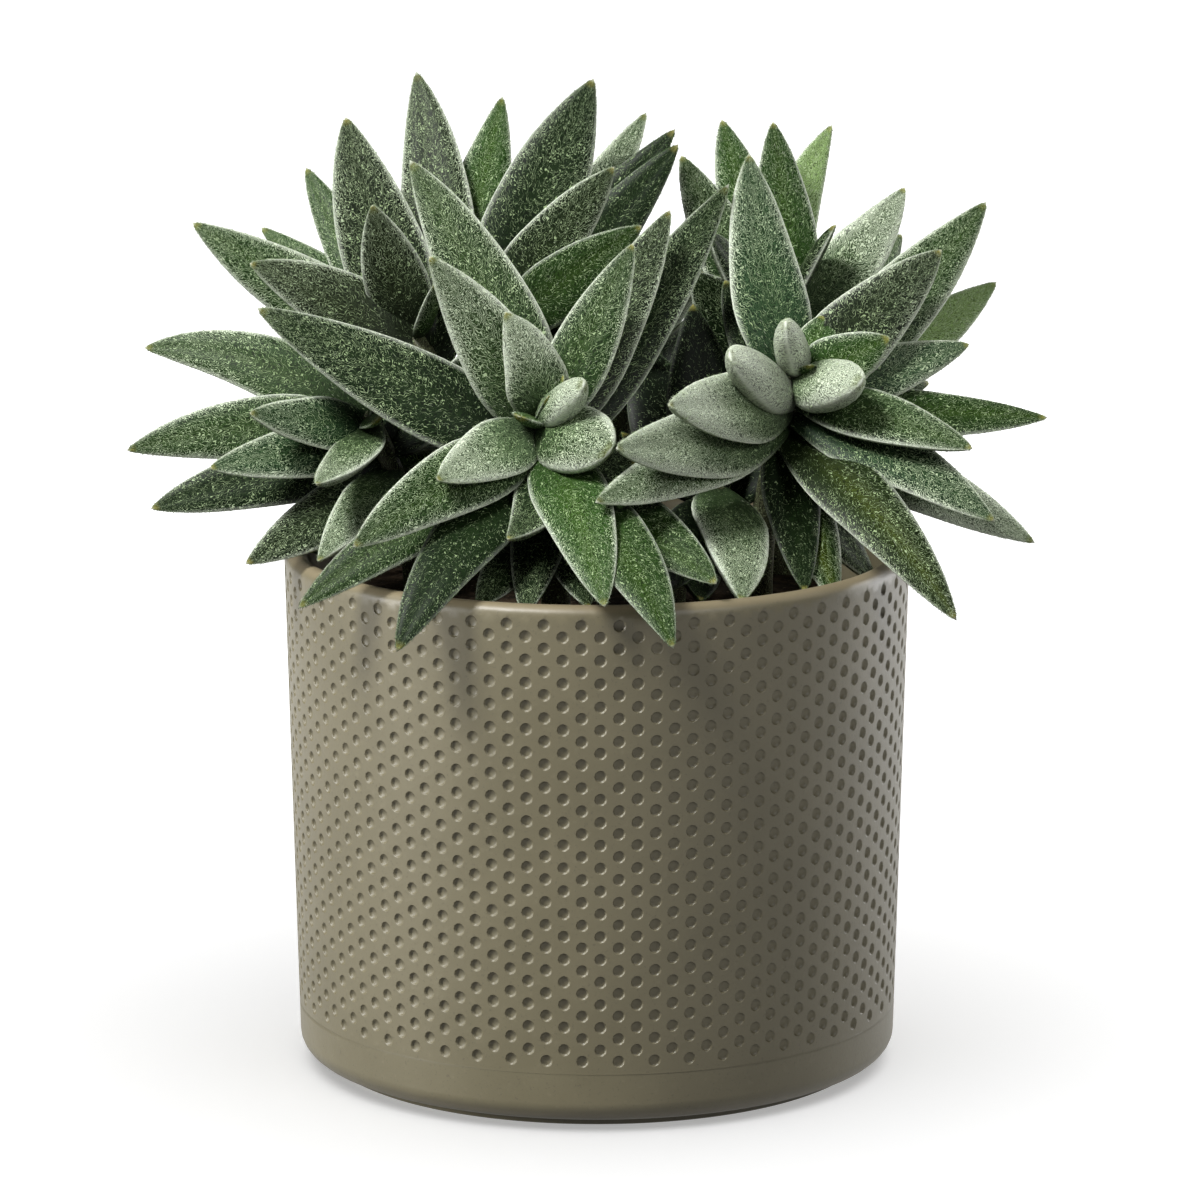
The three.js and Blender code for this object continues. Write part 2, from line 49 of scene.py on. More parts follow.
# %% [markdown]
# ## A mesh from whole arrays
#
# Every surface here is worked out as arrays of points and faces, in millimetres. One helper puts
# them into a mesh, with smooth shading and with any values that the material reads at each point,
# such as a leaf's colour. Attributes are used rather than image maps because the pattern then
# follows the surface. The other helpers give the triangles of a tube and put several surfaces
# together.

# %% Mesh helpers
def make_piece(name, points, faces, values=None):
    """A mesh object from points in millimetres and faces of equal length.

    values holds one array for each attribute: a number or three numbers for every point."""
    points = np.asarray(points, dtype=np.float64) * MM
    faces = np.asarray(faces, dtype=np.int32)
    mesh = bpy.data.meshes.new(name)
    mesh.vertices.add(len(points))
    mesh.vertices.foreach_set("co", points.ravel())
    corners = faces.shape[1]
    mesh.loops.add(faces.size)
    mesh.loops.foreach_set("vertex_index", faces.ravel())
    mesh.polygons.add(len(faces))
    mesh.polygons.foreach_set("loop_start", np.arange(0, faces.size, corners, dtype=np.int32))
    mesh.update(calc_edges=True)
    mesh.polygons.foreach_set("use_smooth", np.ones(len(faces), dtype=bool))
    for key, array in (values or {}).items():
        array = np.asarray(array, dtype=np.float32)
        kind, field = ("FLOAT", "value") if array.ndim == 1 else ("FLOAT_VECTOR", "vector")
        mesh.attributes.new(key, kind, "POINT").data.foreach_set(field, array.ravel())
    mesh.update()
    piece = bpy.data.objects.new(name, mesh)
    bpy.context.scene.collection.objects.link(piece)
    return piece


def tube_faces(rings, sides, start=None, end=None):
    """Two triangles for each cell between the rings of a tube.

    start and end are the numbers of the points that its first and last ring are drawn to."""
    here = np.arange(sides)
    after = (here + 1) % sides
    rows = np.arange(rings - 1)[:, None] * sides
    low, low_after, last = rows + here, rows + after, (rings - 1) * sides
    faces = [np.stack([low, low_after, low_after + sides], -1).reshape(-1, 3),
             np.stack([low, low_after + sides, low + sides], -1).reshape(-1, 3)]
    if start is not None:
        faces.append(np.column_stack([after, here, np.full(sides, start)]))
    if end is not None:
        faces.append(np.column_stack([last + here, last + after, np.full(sides, end)]))
    return np.concatenate(faces)


def together(parts):
    """The point and face arrays of several surfaces in one pair of arrays."""
    starts = np.cumsum([0] + [len(points) for points, _ in parts])
    faces = [own_faces + start for (_, own_faces), start in zip(parts, starts)]
    return np.concatenate([points for points, _ in parts]), np.concatenate(faces)


def unit(vectors):
    """Vectors divided by their own lengths."""
    return vectors / np.maximum(np.linalg.norm(vectors, axis=-1, keepdims=True), 1e-9)


def smooth_step(low, high, value):
    """0 below low, 1 above high and 3t^2 - 2t^3 between them."""
    t = np.clip((value - low) / (high - low), 0, 1)
    return t * t * (3 - 2 * t)


# %% [markdown]
# ## Shader maths as Python
#
# A material is a graph of nodes. Writing the graph as sums keeps it readable, so a small class
# wraps an output socket and turns + - * into Math nodes.

# %% Shader helpers
class Term:
    """A number that varies over a surface: an output socket that can be used in sums."""

    def __init__(self, finish, socket):
        self.finish, self.socket = finish, socket

    def math(self, operation, *others):
        inputs = dict(enumerate([self, *others]))
        return self.finish.node("ShaderNodeMath", {"operation": operation}, inputs)

    def __add__(self, other):
        return self.math("ADD", other)

    def __sub__(self, other):
        return self.math("SUBTRACT", other)

    def __mul__(self, other):
        return self.math("MULTIPLY", other)

    def __rsub__(self, other):
        return self * -1.0 + other

    def between(self, low, high):
        """0 below low, 1 above high and smooth between them."""
        limits = {"Value": self, "From Min": low, "From Max": high}
        return self.finish.node("ShaderNodeMapRange", {"interpolation_type": "SMOOTHSTEP"}, limits)


class Finish:
    """A material made by calls that each add one node."""

    def __init__(self, name):
        self.material = bpy.data.materials.new(name)
        self.material.use_nodes = True
        self.tree = self.material.node_tree
        self.tree.nodes.clear()

    def node(self, kind, settings=None, inputs=None, output=0):
        """A node of this kind, its settings first, then the values or links of its sockets."""
        node = self.tree.nodes.new(kind)
        for key, value in (settings or {}).items():
            setattr(node, key, value)
        for key, value in (inputs or {}).items():
            if isinstance(value, Term):
                self.tree.links.new(value.socket, node.inputs[key])
            else:
                node.inputs[key].default_value = value
        return Term(self, node.outputs[output] if node.outputs else None)

    def mix(self, share, first, second):
        """A colour between two colours."""
        settings = {"data_type": "RGBA", "blend_type": "MIX"}
        colours = {6: first, 7: second}
        colours = {k: v if isinstance(v, Term) else (*v, 1.0) for k, v in colours.items()}
        return self.node("ShaderNodeMix", settings, {0: share, **colours}, output=2)

    def noise(self, place, scale, detail=2.0, roughness=0.5, output=0):
        """A noise texture: output 0 is a number and 1 a colour."""
        inputs = {"Vector": place, "Scale": scale, "Detail": detail, "Roughness": roughness}
        return self.node("ShaderNodeTexNoise", {}, inputs, output)

    def vector(self, operation, *vectors, output=0):
        """A Vector Math node: output 0 is a vector and 1 a number."""
        inputs = dict(enumerate(vectors))
        return self.node("ShaderNodeVectorMath", {"operation": operation}, inputs, output)

    def attribute(self, name, output=0):
        """A value kept at the mesh's points: output 0 is a colour, 1 a vector and 2 a number."""
        return self.node("ShaderNodeAttribute", {"attribute_name": name}, {}, output)

    def objects_place(self):
        """The place in the object's own coordinates, in metres."""
        return self.node("ShaderNodeTexCoord", {}, {}, output=3)

    def bump(self, height, distance, strength):
        """A normal tilted by the slope of a height."""
        inputs = {"Height": height, "Distance": distance, "Strength": strength}
        return self.node("ShaderNodeBump", {}, inputs)

    def surface(self, **sockets):
        """The principled shader, its sockets named with _ for a space, and the output."""
        inputs = {key.replace("_", " "): value for key, value in sockets.items()}
        shader = self.node("ShaderNodeBsdfPrincipled", {}, inputs)
        self.node("ShaderNodeOutputMaterial", {}, {"Surface": shader})
        print(self.material.name, "nodes:", len(self.tree.nodes))
        return self.material


def finish_with(piece, material):
    """Gives a piece its one material and the body that it rides on."""
    piece.data.materials.append(material)
    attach(piece, "root")


# %% [markdown]
# ## The camera
#
# The camera comes early, because the leaves are placed as they look from it. It stands 760 mm from
# the pot's axis and looks down by 11.5 degrees, at a point 58.2 mm above the table. So long a lens
# keeps the pot's sides nearly upright, as they are in a studio picture.

# %% Camera
SIGHT_PITCH = math.radians(11.5)
SIGHT_DISTANCE = 760.0
SIGHT_HEIGHT = 58.2
SIGHT_SIDE = 0.39
PICTURE_SIDE = 1200
FOCAL_PIXELS = 6080
SENSOR = 36.0
SIGHT_UP = np.array([0, math.sin(SIGHT_PITCH), math.cos(SIGHT_PITCH)])
SIGHT_NEAR = np.array([0, -math.cos(SIGHT_PITCH), math.sin(SIGHT_PITCH)])

camera_data = bpy.data.cameras.new("camera")
camera_data.sensor_width = SENSOR
camera_data.lens = FOCAL_PIXELS / PICTURE_SIDE * SENSOR
camera_data.clip_end = 20
camera = bpy.data.objects.new("camera", camera_data)
bpy.context.scene.collection.objects.link(camera)
eye = np.array([SIGHT_SIDE, 0, SIGHT_HEIGHT]) + SIGHT_NEAR * SIGHT_DISTANCE
camera.location = eye * MM
camera.rotation_euler = (math.pi / 2 - SIGHT_PITCH, 0, 0)
bpy.context.scene.camera = camera
print("lens", round(camera_data.lens, 1), "mm at", np.round(eye, 1))


def seen(right, up, near):
    """A place from where it is seen: right and up in the plane of the pot's axis, and near.

    What is nearer looks larger, so right and up shrink by (760 - near) / 760."""
    shrink = (SIGHT_DISTANCE - near) / SIGHT_DISTANCE
    start = np.array([right * shrink, 0, SIGHT_HEIGHT])
    return start + SIGHT_UP * up * shrink + SIGHT_NEAR * near


# %% [markdown]
# ## The pot
#
# The pot is thrown or cast clay: a round wall that narrows a little to the bottom, a plain band
# above a small foot, and a rolled rim. Its wall is pressed with 108 upright columns of round
# dimples, each column half a step off its neighbours. A bump map would look flat at the pot's edge,
# and a fine grid would need a million faces. So the wall is laid out as six-sided cells, one around
# each dimple: the cells share their edges, and only the dimples get fine rings.

# %% Sizes of the pot
POT_RADIUS = 39.0
POT_HEIGHT = 65.2
POT_BOTTOM_RADIUS = 37.4
BOTTOM_ROUNDING = 2.6
BAND_HEIGHT = 7.4
BAND_STEP = 0.25
WALL = 3.0
FLOOR_HEIGHT = 4.5
FLOOR_CORNER = 2.0
FLOOR_MIDDLE = 14.0
INNER_HEIGHTS = (50.0, 30.0)
FOOT_RADIUS = 34.0
FOOT_HEIGHT = 1.1
FOOT_CHAMFER = 0.25
FOOT_BEVEL = 0.12
FOOT_SHARES = (0.55, 0.985)
COLUMN_PAIRS = 54
ROWS = 20
FIRST_DIMPLE = 9.0
ROW_STEP = 2.837
DIMPLE_RADIUS = 0.74
DIMPLE_DEPTH = 0.4
DIMPLE_LEAN = 0.09
FIRST_COLUMN = math.radians(-92.6)


def outer_radius(height):
    """The wall's outer radius: it grows evenly from the bottom to the rim."""
    return POT_BOTTOM_RADIUS + (POT_RADIUS - POT_BOTTOM_RADIUS) * height / POT_HEIGHT


MIDDLE_RADIUS = outer_radius(POT_HEIGHT / 2)
print("dimples lie", round(math.pi / COLUMN_PAIRS * MIDDLE_RADIUS, 2), "mm apart round the pot")

# %% Wall and rim as one path
RIM_ROUND = WALL / 2
RIM_MIDDLE = (outer_radius(POT_HEIGHT) - RIM_ROUND, POT_HEIGHT - RIM_ROUND)


def wall_place(rise, sunk):
    """Radius and height on the wall for a way up it, pressed in by sunk along its normal.

    Below the rim the way is the height itself. Above it the path turns round the rim's circle."""
    turn = np.maximum(rise - RIM_MIDDLE[1], 0) / RIM_ROUND
    straight = outer_radius(np.minimum(rise, RIM_MIDDLE[1])) - sunk
    curled = RIM_MIDDLE[0] + (RIM_ROUND - sunk) * np.cos(turn)
    radius = np.where(turn > 0, curled, straight)
    height = np.where(turn > 0, RIM_MIDDLE[1] + (RIM_ROUND - sunk) * np.sin(turn), rise)
    return radius, height


def wall_points(across, up, sunk):
    """Places on the wall from the way round, the way up and the depth."""
    radius, height = wall_place(up, sunk)
    turn = FIRST_COLUMN + across / MIDDLE_RADIUS
    places = np.broadcast_arrays(radius * np.cos(turn), radius * np.sin(turn), height)
    return np.stack(places, axis=-1)


# %% One dimple's cell
EDGE_POINTS = 12
RING_SHARES = np.array([1.1, 0.97, 0.73])
RING_DEPTHS = np.array([0.0, 0.35, 1.0])
across_step = math.pi / COLUMN_PAIRS * MIDDLE_RADIUS
half_row = ROW_STEP / 2
short = (across_step**2 - half_row**2) / (2 * across_step)
long = across_step - short
corners = np.array([[long, 0], [short, half_row], [-short, half_row],
                    [-long, 0], [-short, -half_row], [short, -half_row]])
edge = np.empty((EDGE_POINTS, 2))
edge[0::2] = corners
edge[1::2] = (corners + np.roll(corners, -1, axis=0)) / 2


def cell_points():
    """A cell's points (across, up, sunk): its edge, three rings round the dimple and its middle.

    The tool leans a little, so the rings move sideways with their depth: the dimple's left wall is
    steep and its right wall is gentle."""
    bearing = np.arctan2(edge[:, 1], edge[:, 0])
    circle = np.column_stack([np.cos(bearing), np.sin(bearing), np.zeros(EDGE_POINTS)])
    rings = circle[None] * DIMPLE_RADIUS * RING_SHARES[:, None, None]
    rings[..., 0] -= DIMPLE_LEAN * RING_DEPTHS[:, None]
    rings[..., 2] = DIMPLE_DEPTH * RING_DEPTHS[:, None]
    rim = np.column_stack([edge, np.zeros(EDGE_POINTS)])
    return np.concatenate([rim, rings.reshape(-1, 3), [[0, 0, DIMPLE_DEPTH]]])


cell = cell_points()
cell_faces = tube_faces(1 + len(RING_SHARES), EDGE_POINTS, end=len(cell) - 1)
print("points in a cell:", len(cell), "faces:", len(cell_faces))

# %% All cells on the wall
def lattice(columns, rows):
    """Every pair of a column and a row."""
    return np.stack(np.meshgrid(columns, rows, indexing="ij"), -1).reshape(-1, 2)


main_columns = np.arange(COLUMN_PAIRS) * 2.0
main = lattice(main_columns, np.arange(ROWS))
between = lattice(main_columns + 1, np.arange(ROWS - 1) + 0.5)
middles = np.concatenate([main, between]) * [across_step, ROW_STEP] + [0, FIRST_DIMPLE]
flat = middles[:, None, :] + cell[None, :, :2]
field_points = wall_points(flat[..., 0], flat[..., 1], cell[:, 2])
field_faces = cell_faces[None] + (np.arange(len(middles)) * len(cell))[:, None, None]
print("dimples:", len(middles), "faces:", field_faces.shape[0] * field_faces.shape[1])

# %% [markdown]
# The top and bottom edges of the cells go up and down like a battlement. Flat pieces fill the
# notches of the columns between, so that plain rings can carry on from a level edge.

# %% Notches and plain rings
top_level = FIRST_DIMPLE + (ROWS - 0.5) * ROW_STEP
bottom_level = FIRST_DIMPLE - half_row


def notch(level, way):
    """Triangles that fill the notches of the columns between, at the top (way 1) or bottom (-1)."""
    inner, half = level - way * half_row, level - way * half_row / 2
    side = (long + short) / 2
    outline = np.array([[0, level], [-long, level], [-side, half], [-short, inner],
                        [0, inner], [short, inner], [side, half], [long, level]])
    fan = np.array([[0, i, i + 1] for i in range(1, len(outline) - 1)])
    columns = (main_columns + 1)[:, None] * across_step
    points = wall_points(columns + outline[:, 0], outline[:, 1], 0.0)
    faces = fan[None, :, ::way] + (np.arange(COLUMN_PAIRS) * len(outline))[:, None, None]
    return points.reshape(-1, 3), faces.reshape(-1, 3)


def ring_turns():
    """The bearings of the points on a level edge of the cells: four for each pair of columns."""
    ways = main_columns[:, None] * across_step + [-short, 0, short, across_step]
    return FIRST_COLUMN + ways.ravel() / MIDDLE_RADIUS


def turned(profile, turns, closed):
    """A turned surface: each (radius, height) of the profile carried round the axis.

    closed names the end of the profile, start or end, that is drawn to a point on the axis."""
    profile = np.asarray(profile)
    circle = np.column_stack([np.cos(turns), np.sin(turns), np.ones(len(turns))])
    points = (profile[:, None, [0, 0, 1]] * circle).reshape(-1, 3)
    pole = [0, 0, profile[0 if closed == "start" else -1, 1]]
    faces = tube_faces(len(profile), len(turns), **{closed: len(points)})
    return np.concatenate([points, [pole]]), faces


def arc(middle, radius, start, end, steps):
    """Points (radius, height) on a circle from one angle to another, in degrees."""
    angles = np.radians(np.linspace(start, end, steps + 1))
    return [(middle[0] + radius * math.cos(a), middle[1] + radius * math.sin(a)) for a in angles]


def welded(points, faces, weld=0.004, shift=0.03):
    """Points closer than the weld made one, and the faces that still have three corners.

    Places are rounded to steps of the weld, shifted so that none lies on the edge of a step."""
    places = np.round(points / weld + shift).astype(np.int64)
    _, first, index = np.unique(places, axis=0, return_index=True, return_inverse=True)
    faces = index.ravel()[faces]
    whole = (faces != np.roll(faces, 1, axis=1)).all(axis=1)
    return points[first], faces[whole]


# %% The whole pot
turns = ring_turns()
foot_edge = FOOT_HEIGHT + BOTTOM_ROUNDING
side_foot = outer_radius(foot_edge) - BOTTOM_ROUNDING
low_profile = [(FOOT_RADIUS * share, 0.0) for share in FOOT_SHARES]
low_profile += [(FOOT_RADIUS, FOOT_CHAMFER), (FOOT_RADIUS, FOOT_HEIGHT - FOOT_BEVEL)]
low_profile += [(FOOT_RADIUS + FOOT_BEVEL, FOOT_HEIGHT), (side_foot - 0.05, FOOT_HEIGHT)]
low_profile += arc((side_foot, foot_edge), BOTTOM_ROUNDING, -86, 0, 6)
low_profile += [(outer_radius(BAND_HEIGHT), BAND_HEIGHT - BAND_STEP)]
low_profile += [(outer_radius(BAND_HEIGHT) - BAND_STEP * 0.9, BAND_HEIGHT - 0.08)]
low_profile += [(outer_radius(bottom_level), bottom_level)]
start_turn = math.degrees((top_level - RIM_MIDDLE[1]) / RIM_ROUND)
high_profile = arc(RIM_MIDDLE, RIM_ROUND, start_turn, 180, 8)
inner_heights = (*INNER_HEIGHTS, FLOOR_HEIGHT + FLOOR_CORNER)
high_profile += [(outer_radius(h) - WALL, h) for h in inner_heights]
high_profile += [(outer_radius(FLOOR_HEIGHT) - WALL - FLOOR_CORNER, FLOOR_HEIGHT)]
high_profile += [(FLOOR_MIDDLE, FLOOR_HEIGHT)]
pot_points, pot_faces = welded(*together([
    (field_points.reshape(-1, 3), field_faces.reshape(-1, 3)),
    notch(top_level, 1),
    notch(bottom_level, -1),
    turned(low_profile, turns, closed="start"),
    turned(high_profile, turns, closed="end"),
]))
print("pot:", len(pot_faces), "triangles")

# %% [markdown]
# ## The pot's finish
#
# The clay is matte and olive brown. It is never one flat colour: the body clay has faint clouds and
# fine dark and light specks, and the glaze is worn lighter on the rolled rim. The dimples' floors
# are a little darker with their depth, a painted shade. Clouds and specks read the object's own
# coordinates, so they run through the wall as in real clay. How worn and how hollow a place is are
# values at the mesh's points.

# %% Clay material
CLAY_DARK = (0.092, 0.080, 0.044)
CLAY_LIGHT = (0.110, 0.096, 0.055)
DARK_SPECK = (0.045, 0.038, 0.023)
LIGHT_SPECK = (0.175, 0.154, 0.098)
WORN_GLAZE = (0.25, 0.20, 0.125)
# The colour of the painted shade on the dimples' floors.
DIMPLE_PAINTED_SHADE = (0.045, 0.038, 0.022)
CLOUD_SCALE = 55.0
SPECK_SCALE = 2600.0
GRAIN_SCALE = 900.0
CLAY_BUMP = (0.00006, 0.55)


def clay_finish():
    """Clay: clouds, dark and light specks, then the worn places and the painted shade in the
    dimples.
    """
    clay = Finish("pot_clay")
    place = clay.objects_place()
    clouds = clay.noise(place, CLOUD_SCALE, detail=4.0, roughness=0.6)
    specks = clay.noise(place, SPECK_SCALE, detail=2.0, roughness=0.7)
    grain = clay.noise(place, GRAIN_SCALE, detail=4.0, roughness=0.65)
    worn = clay.attribute("worn", output=2)
    hollow = clay.attribute("hollow", output=2)
    colour = clay.mix(clouds.between(0.3, 0.7), CLAY_DARK, CLAY_LIGHT)
    colour = clay.mix(specks.between(0.58, 0.75) * 0.45, colour, DARK_SPECK)
    colour = clay.mix(grain.between(0.55, 0.8) * 0.25, colour, LIGHT_SPECK)
    colour = clay.mix(worn * 0.38, colour, WORN_GLAZE)
    # Painted shade: the dimples darken a little with their depth.
    colour = clay.mix(hollow * 0.05, colour, DIMPLE_PAINTED_SHADE)
    rough = grain * 0.14 + 0.38 + hollow * 0.04
    normal = clay.bump(grain * 0.7 + specks * 0.3, *CLAY_BUMP)
    return clay.surface(Base_Color=colour, Roughness=rough, Normal=normal, Specular_IOR_Level=0.5)


# %% [markdown]
# On the real pot the clay between the dimples is part of one even wall. Smooth shading would let
# each dimple tilt it, so there the normals are turned to the wall's own, and halfway on the
# dimples' floors.

# %% Pot piece
RIM_WEAR = (POT_HEIGHT - 1.1, POT_HEIGHT - 0.1)
FOOT_WEAR_HEIGHT = foot_edge - 1.8
DIMPLES_TOP = POT_HEIGHT - 1.7

height = pot_points[:, 2]
radius = np.hypot(pot_points[:, 0], pot_points[:, 1])
sunk = outer_radius(height) - radius
outside = sunk < WALL / 2
foot_wear = 0.5 * outside * (1 - smooth_step(0.1, 0.5, np.abs(height - FOOT_WEAR_HEIGHT)))
worn = np.maximum(smooth_step(*RIM_WEAR, height), foot_wear)
dimpled = outside * (height > BAND_HEIGHT) * (height < DIMPLES_TOP)
# hollow, the depth in a dimple, drives the painted shade there and a slightly rougher floor.
hollow = dimpled * smooth_step(0.1, DIMPLE_DEPTH, sunk)
pot = make_piece("pot_body", pot_points, pot_faces, {"worn": worn, "hollow": hollow})

on_wall = (height > foot_edge - 0.01) & (height < RIM_MIDDLE[1])
plain, floors = np.abs(sunk) < 0.01, np.abs(sunk - DIMPLE_DEPTH) < 0.002
flatness = on_wall * (1.0 * plain + 0.5 * floors)
normals = np.empty(len(pot_points) * 3, dtype=np.float32)
pot.data.vertices.foreach_get("normal", normals)
normals = normals.reshape(-1, 3)
slope = (POT_RADIUS - POT_BOTTOM_RADIUS) / POT_HEIGHT
from_axis = pot_points[:, :2] / radius[:, None].clip(1e-6)
upright = np.column_stack([from_axis, np.full(len(radius), -slope)])
normals = unit(normals + (unit(upright) - normals) * flatness[:, None])
pot.data.normals_split_custom_set_from_vertices(normals)
print("points whose normal is turned to the wall's:", int((flatness > 0).sum()))
finish_with(pot, clay_finish())
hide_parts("pot")

# %% [markdown]
# ## The leafy stems
#
# Each stem is a short upright shoot that ends in a growing point, its heart. The table gives every
# leaf's tip as it is seen from the camera, because that is where a plant's likeness lies, and its
# root lies a little below the heart. Where no picture helps, mostly at the back, a leaf has its
# direction round the stem, its rise and its length. look names its colour: young leaves are pearl,
# silver or frost with felt, grown ones sage, teal or ash, old ones plum or dusk, and those in the
# shade grass, fern or dark. Some looks carry painted light and shade as well: dusk, fern, bare and
# dark are darkened as painted shade for leaves that lie in shadow, gloom is nearly black as painted
# shade for the leaves deep in the middle, and pearl and mint are made paler as painted light on
# leaves that the lamps leave in shade.

# %% Table of stems
def shown(look, tip, low, wide, show, **more):
    """A leaf whose tip (right, up, near) is as the camera sees it.

    It grows low mm below the heart and is wide mm wide. show is how far its face turns to the
    camera and mid moves its middle. A young leaf is blunt, and one with thick is plump: that is
    its thickness as a share of its width."""
    return dict(look=look, tip=tip, low=low, wide=wide, show=show, **more)


def hidden(look, around, rise, long, low, wide, **more):
    """A leaf given by its bearing round the stem and its rise, in degrees, and its length.

    arch lifts its middle."""
    return dict(look=look, around=around, rise=rise, long=long, low=low, wide=wide, **more)


STEMS = {}
STEMS["front"] = dict(heart=(-7, 22.5, 22), foot=(-5, -14), leaves=[
    shown("sage", (-23.4, 55, 12), 4, 11.8, 0.9, mid=(1.5, 0, 0)),
    shown("ash", (-21, 43, 27), 3, 10.2, 0.85, mid=(1, 0, 0)),
    shown("frost", (-11.5, 36, 27), 1, 8.6, 0.8, mid=(1.2, 0, 0.8)),
    shown("sage", (4.6, 44.6, 20), 2, 8.6, 0.75),
    shown("dusk", (9.2, 48.8, 10), 4, 9.4, 0.85),
    shown("dark", (16.5, 52, 3), 6, 9.4, 0.85),
    shown("dark", (-42.5, 36.5, 18), 5, 11.2, 0.75),
    shown("frost", (-20, 15, 36), 1, 8.6, 0.7),
    shown("ash", (1.6, 18.4, 33), 1, 9.6, 0.7, thick=0.5, young=True),
    shown("silver", (-1.6, 27, 31), 0, 5.4, 0.4, thick=0.8, young=True),
    shown("grass", (-9.8, 23, 28), 0, 4, 0.3, young=True),
    shown("grass", (-6.2, 25.4, 27), 0, 3, 0.3, young=True),
    shown("grass", (-4.2, 28.2, 24), 0, 3, 0.3, young=True),
    shown("sage", (-30.5, 6.6, 40), 3, 9.8, 0.7, mid=(0, 1.2, 1.6)),
    shown("fern", (-37.4, -1.1, 32), 6, 9, 0.6, mid=(0, 1.8, 2.4)),
    shown("bare", (-25, -6.5, 42), 7, 9.6, 0.5, mid=(-1, 2.4, 3.2)),
    shown("grass", (1, -0.9, 44), 3, 10, 0.3, mid=(0.5, 1.2, 1.6)),
    shown("fern", (9.6, -6.1, 47), 8, 9.6, 0.3, mid=(1, 2.4, 3.2)),
    shown("fern", (15, 2, 37), 8, 9.4, 0.5, mid=(1, 0.6, -1)),
    shown("dark", (-11.2, 7.6, 38), 3, 8, 0.3, mid=(2, -1, 0)),
    shown("dark", (-9, -2, 34.5), 9, 7.4, 0.3),
    shown("dark", (-1, -1, 34), 11, 7, 0.3),
    shown("dark", (-15, -1, 33), 12, 7.4, 0.4),
    hidden("dark", 85, 25, 22, 7, 8.6),
    hidden("dark", 135, 8, 20, 10, 8.4),
    hidden("dark", 40, 0, 13, 10, 7.6),
    shown("dark", (5, 17, 14), 6, 8, 0.5),
])
STEMS["right"] = dict(heart=(25.5, 28.5, 8), foot=(20, -2), leaves=[
    shown("pearl", (16.6, 30.6, 24), 4, 7.4, 0.5, thick=0.7, young=True),
    shown("pearl", (23.6, 34.6, 18), 0, 5.4, 0.5, thick=0.8, young=True),
    shown("silver", (33, 27.2, 20), 2, 7.6, 0.6, thick=0.75, young=True),
    shown("grass", (29, 35.5, 6), 1, 5.6, 0.6, young=True),
    shown("grass", (36.6, 32.8, 12), 2, 8.4, 0.85),
    shown("grass", (26.6, 29.4, 15), 0, 3, 0.3, young=True),
    shown("dusk", (43.1, 43.8, 4), 3, 10.6, 0.85),
    shown("sage", (48.7, 49.8, -6), 5, 11, 0.9, mid=(0.7, -0.5, 0)),
    shown("teal", (19, 55.8, 0), 3, 11.2, 0.5, mid=(-0.7, 0, 0)),
    shown("mint", (50, 39.8, -10), 7, 9.6, 0.9, mid=(0.4, -0.5, 0)),
    shown("teal", (46.6, 32, 2), 4, 8, 0.85),
    shown("fern", (56.4, 22.8, 2), 5, 8.4, 0.6),
    shown("sage", (47, 18.9, 18), 3, 9.2, 0.5, mid=(0, 0.4, 0.8)),
    shown("teal", (49.8, 9.8, 18), 5, 9.4, 0.6, mid=(0, 1.2, 1.6)),
    shown("frost", (54.8, 7.1, 6), 8, 9, 0.75, mid=(0, 1.2, 1.6)),
    shown("moss", (45, -2.6, 26), 8, 9.6, 0.6, mid=(0, 2, 3.2)),
    shown("silver", (9, 24.4, 33), 4, 10.2, 0.75, mid=(0, -0.6, 0.8)),
    shown("frost", (2.4, 19, 37.5), 6, 10.6, 0.75, mid=(0, -1.3, 0.8)),
    shown("ash", (-0.2, 12.2, 36.8), 6, 9.2, 0.6, mid=(0, -0.6, 0.8)),
    shown("bare", (16, 40, -3), 4, 8.8, 0.6),
    shown("bare", (26, 1, 18.5), 8, 8, 0.4),
    shown("lime", (30, -0.5, 17), 9, 8.6, 0.4),
    shown("dark", (35, 2, 8), 11, 8, 0.4),
    hidden("dark", 85, 14, 14, 8, 8),
    hidden("dark", 146, 4, 12, 14.5, 9, show=0.8),
    hidden("dark", 40, -8, 20, 13, 8.4),
])
STEMS["middle"] = dict(heart=(15, 14, 8), foot=(9, -9), leaves=[
    shown("ash", (18.1, -0.2, 32.6), 0, 10.4, 0.6, mid=(0.6, 1, 0)),
    shown("gloom", (8, 1, 33), 2, 8, 0.3),
    shown("gloom", (13, 0, 30), 6, 7.6, 0.3),
    shown("gloom", (12, 37, 1), 1, 10.4, 0.8),
    shown("gloom", (3, 21, 4), 2, 7, 0.5),
    shown("gloom", (5.4, 32, -2), 2, 13.2, 0.75),
])
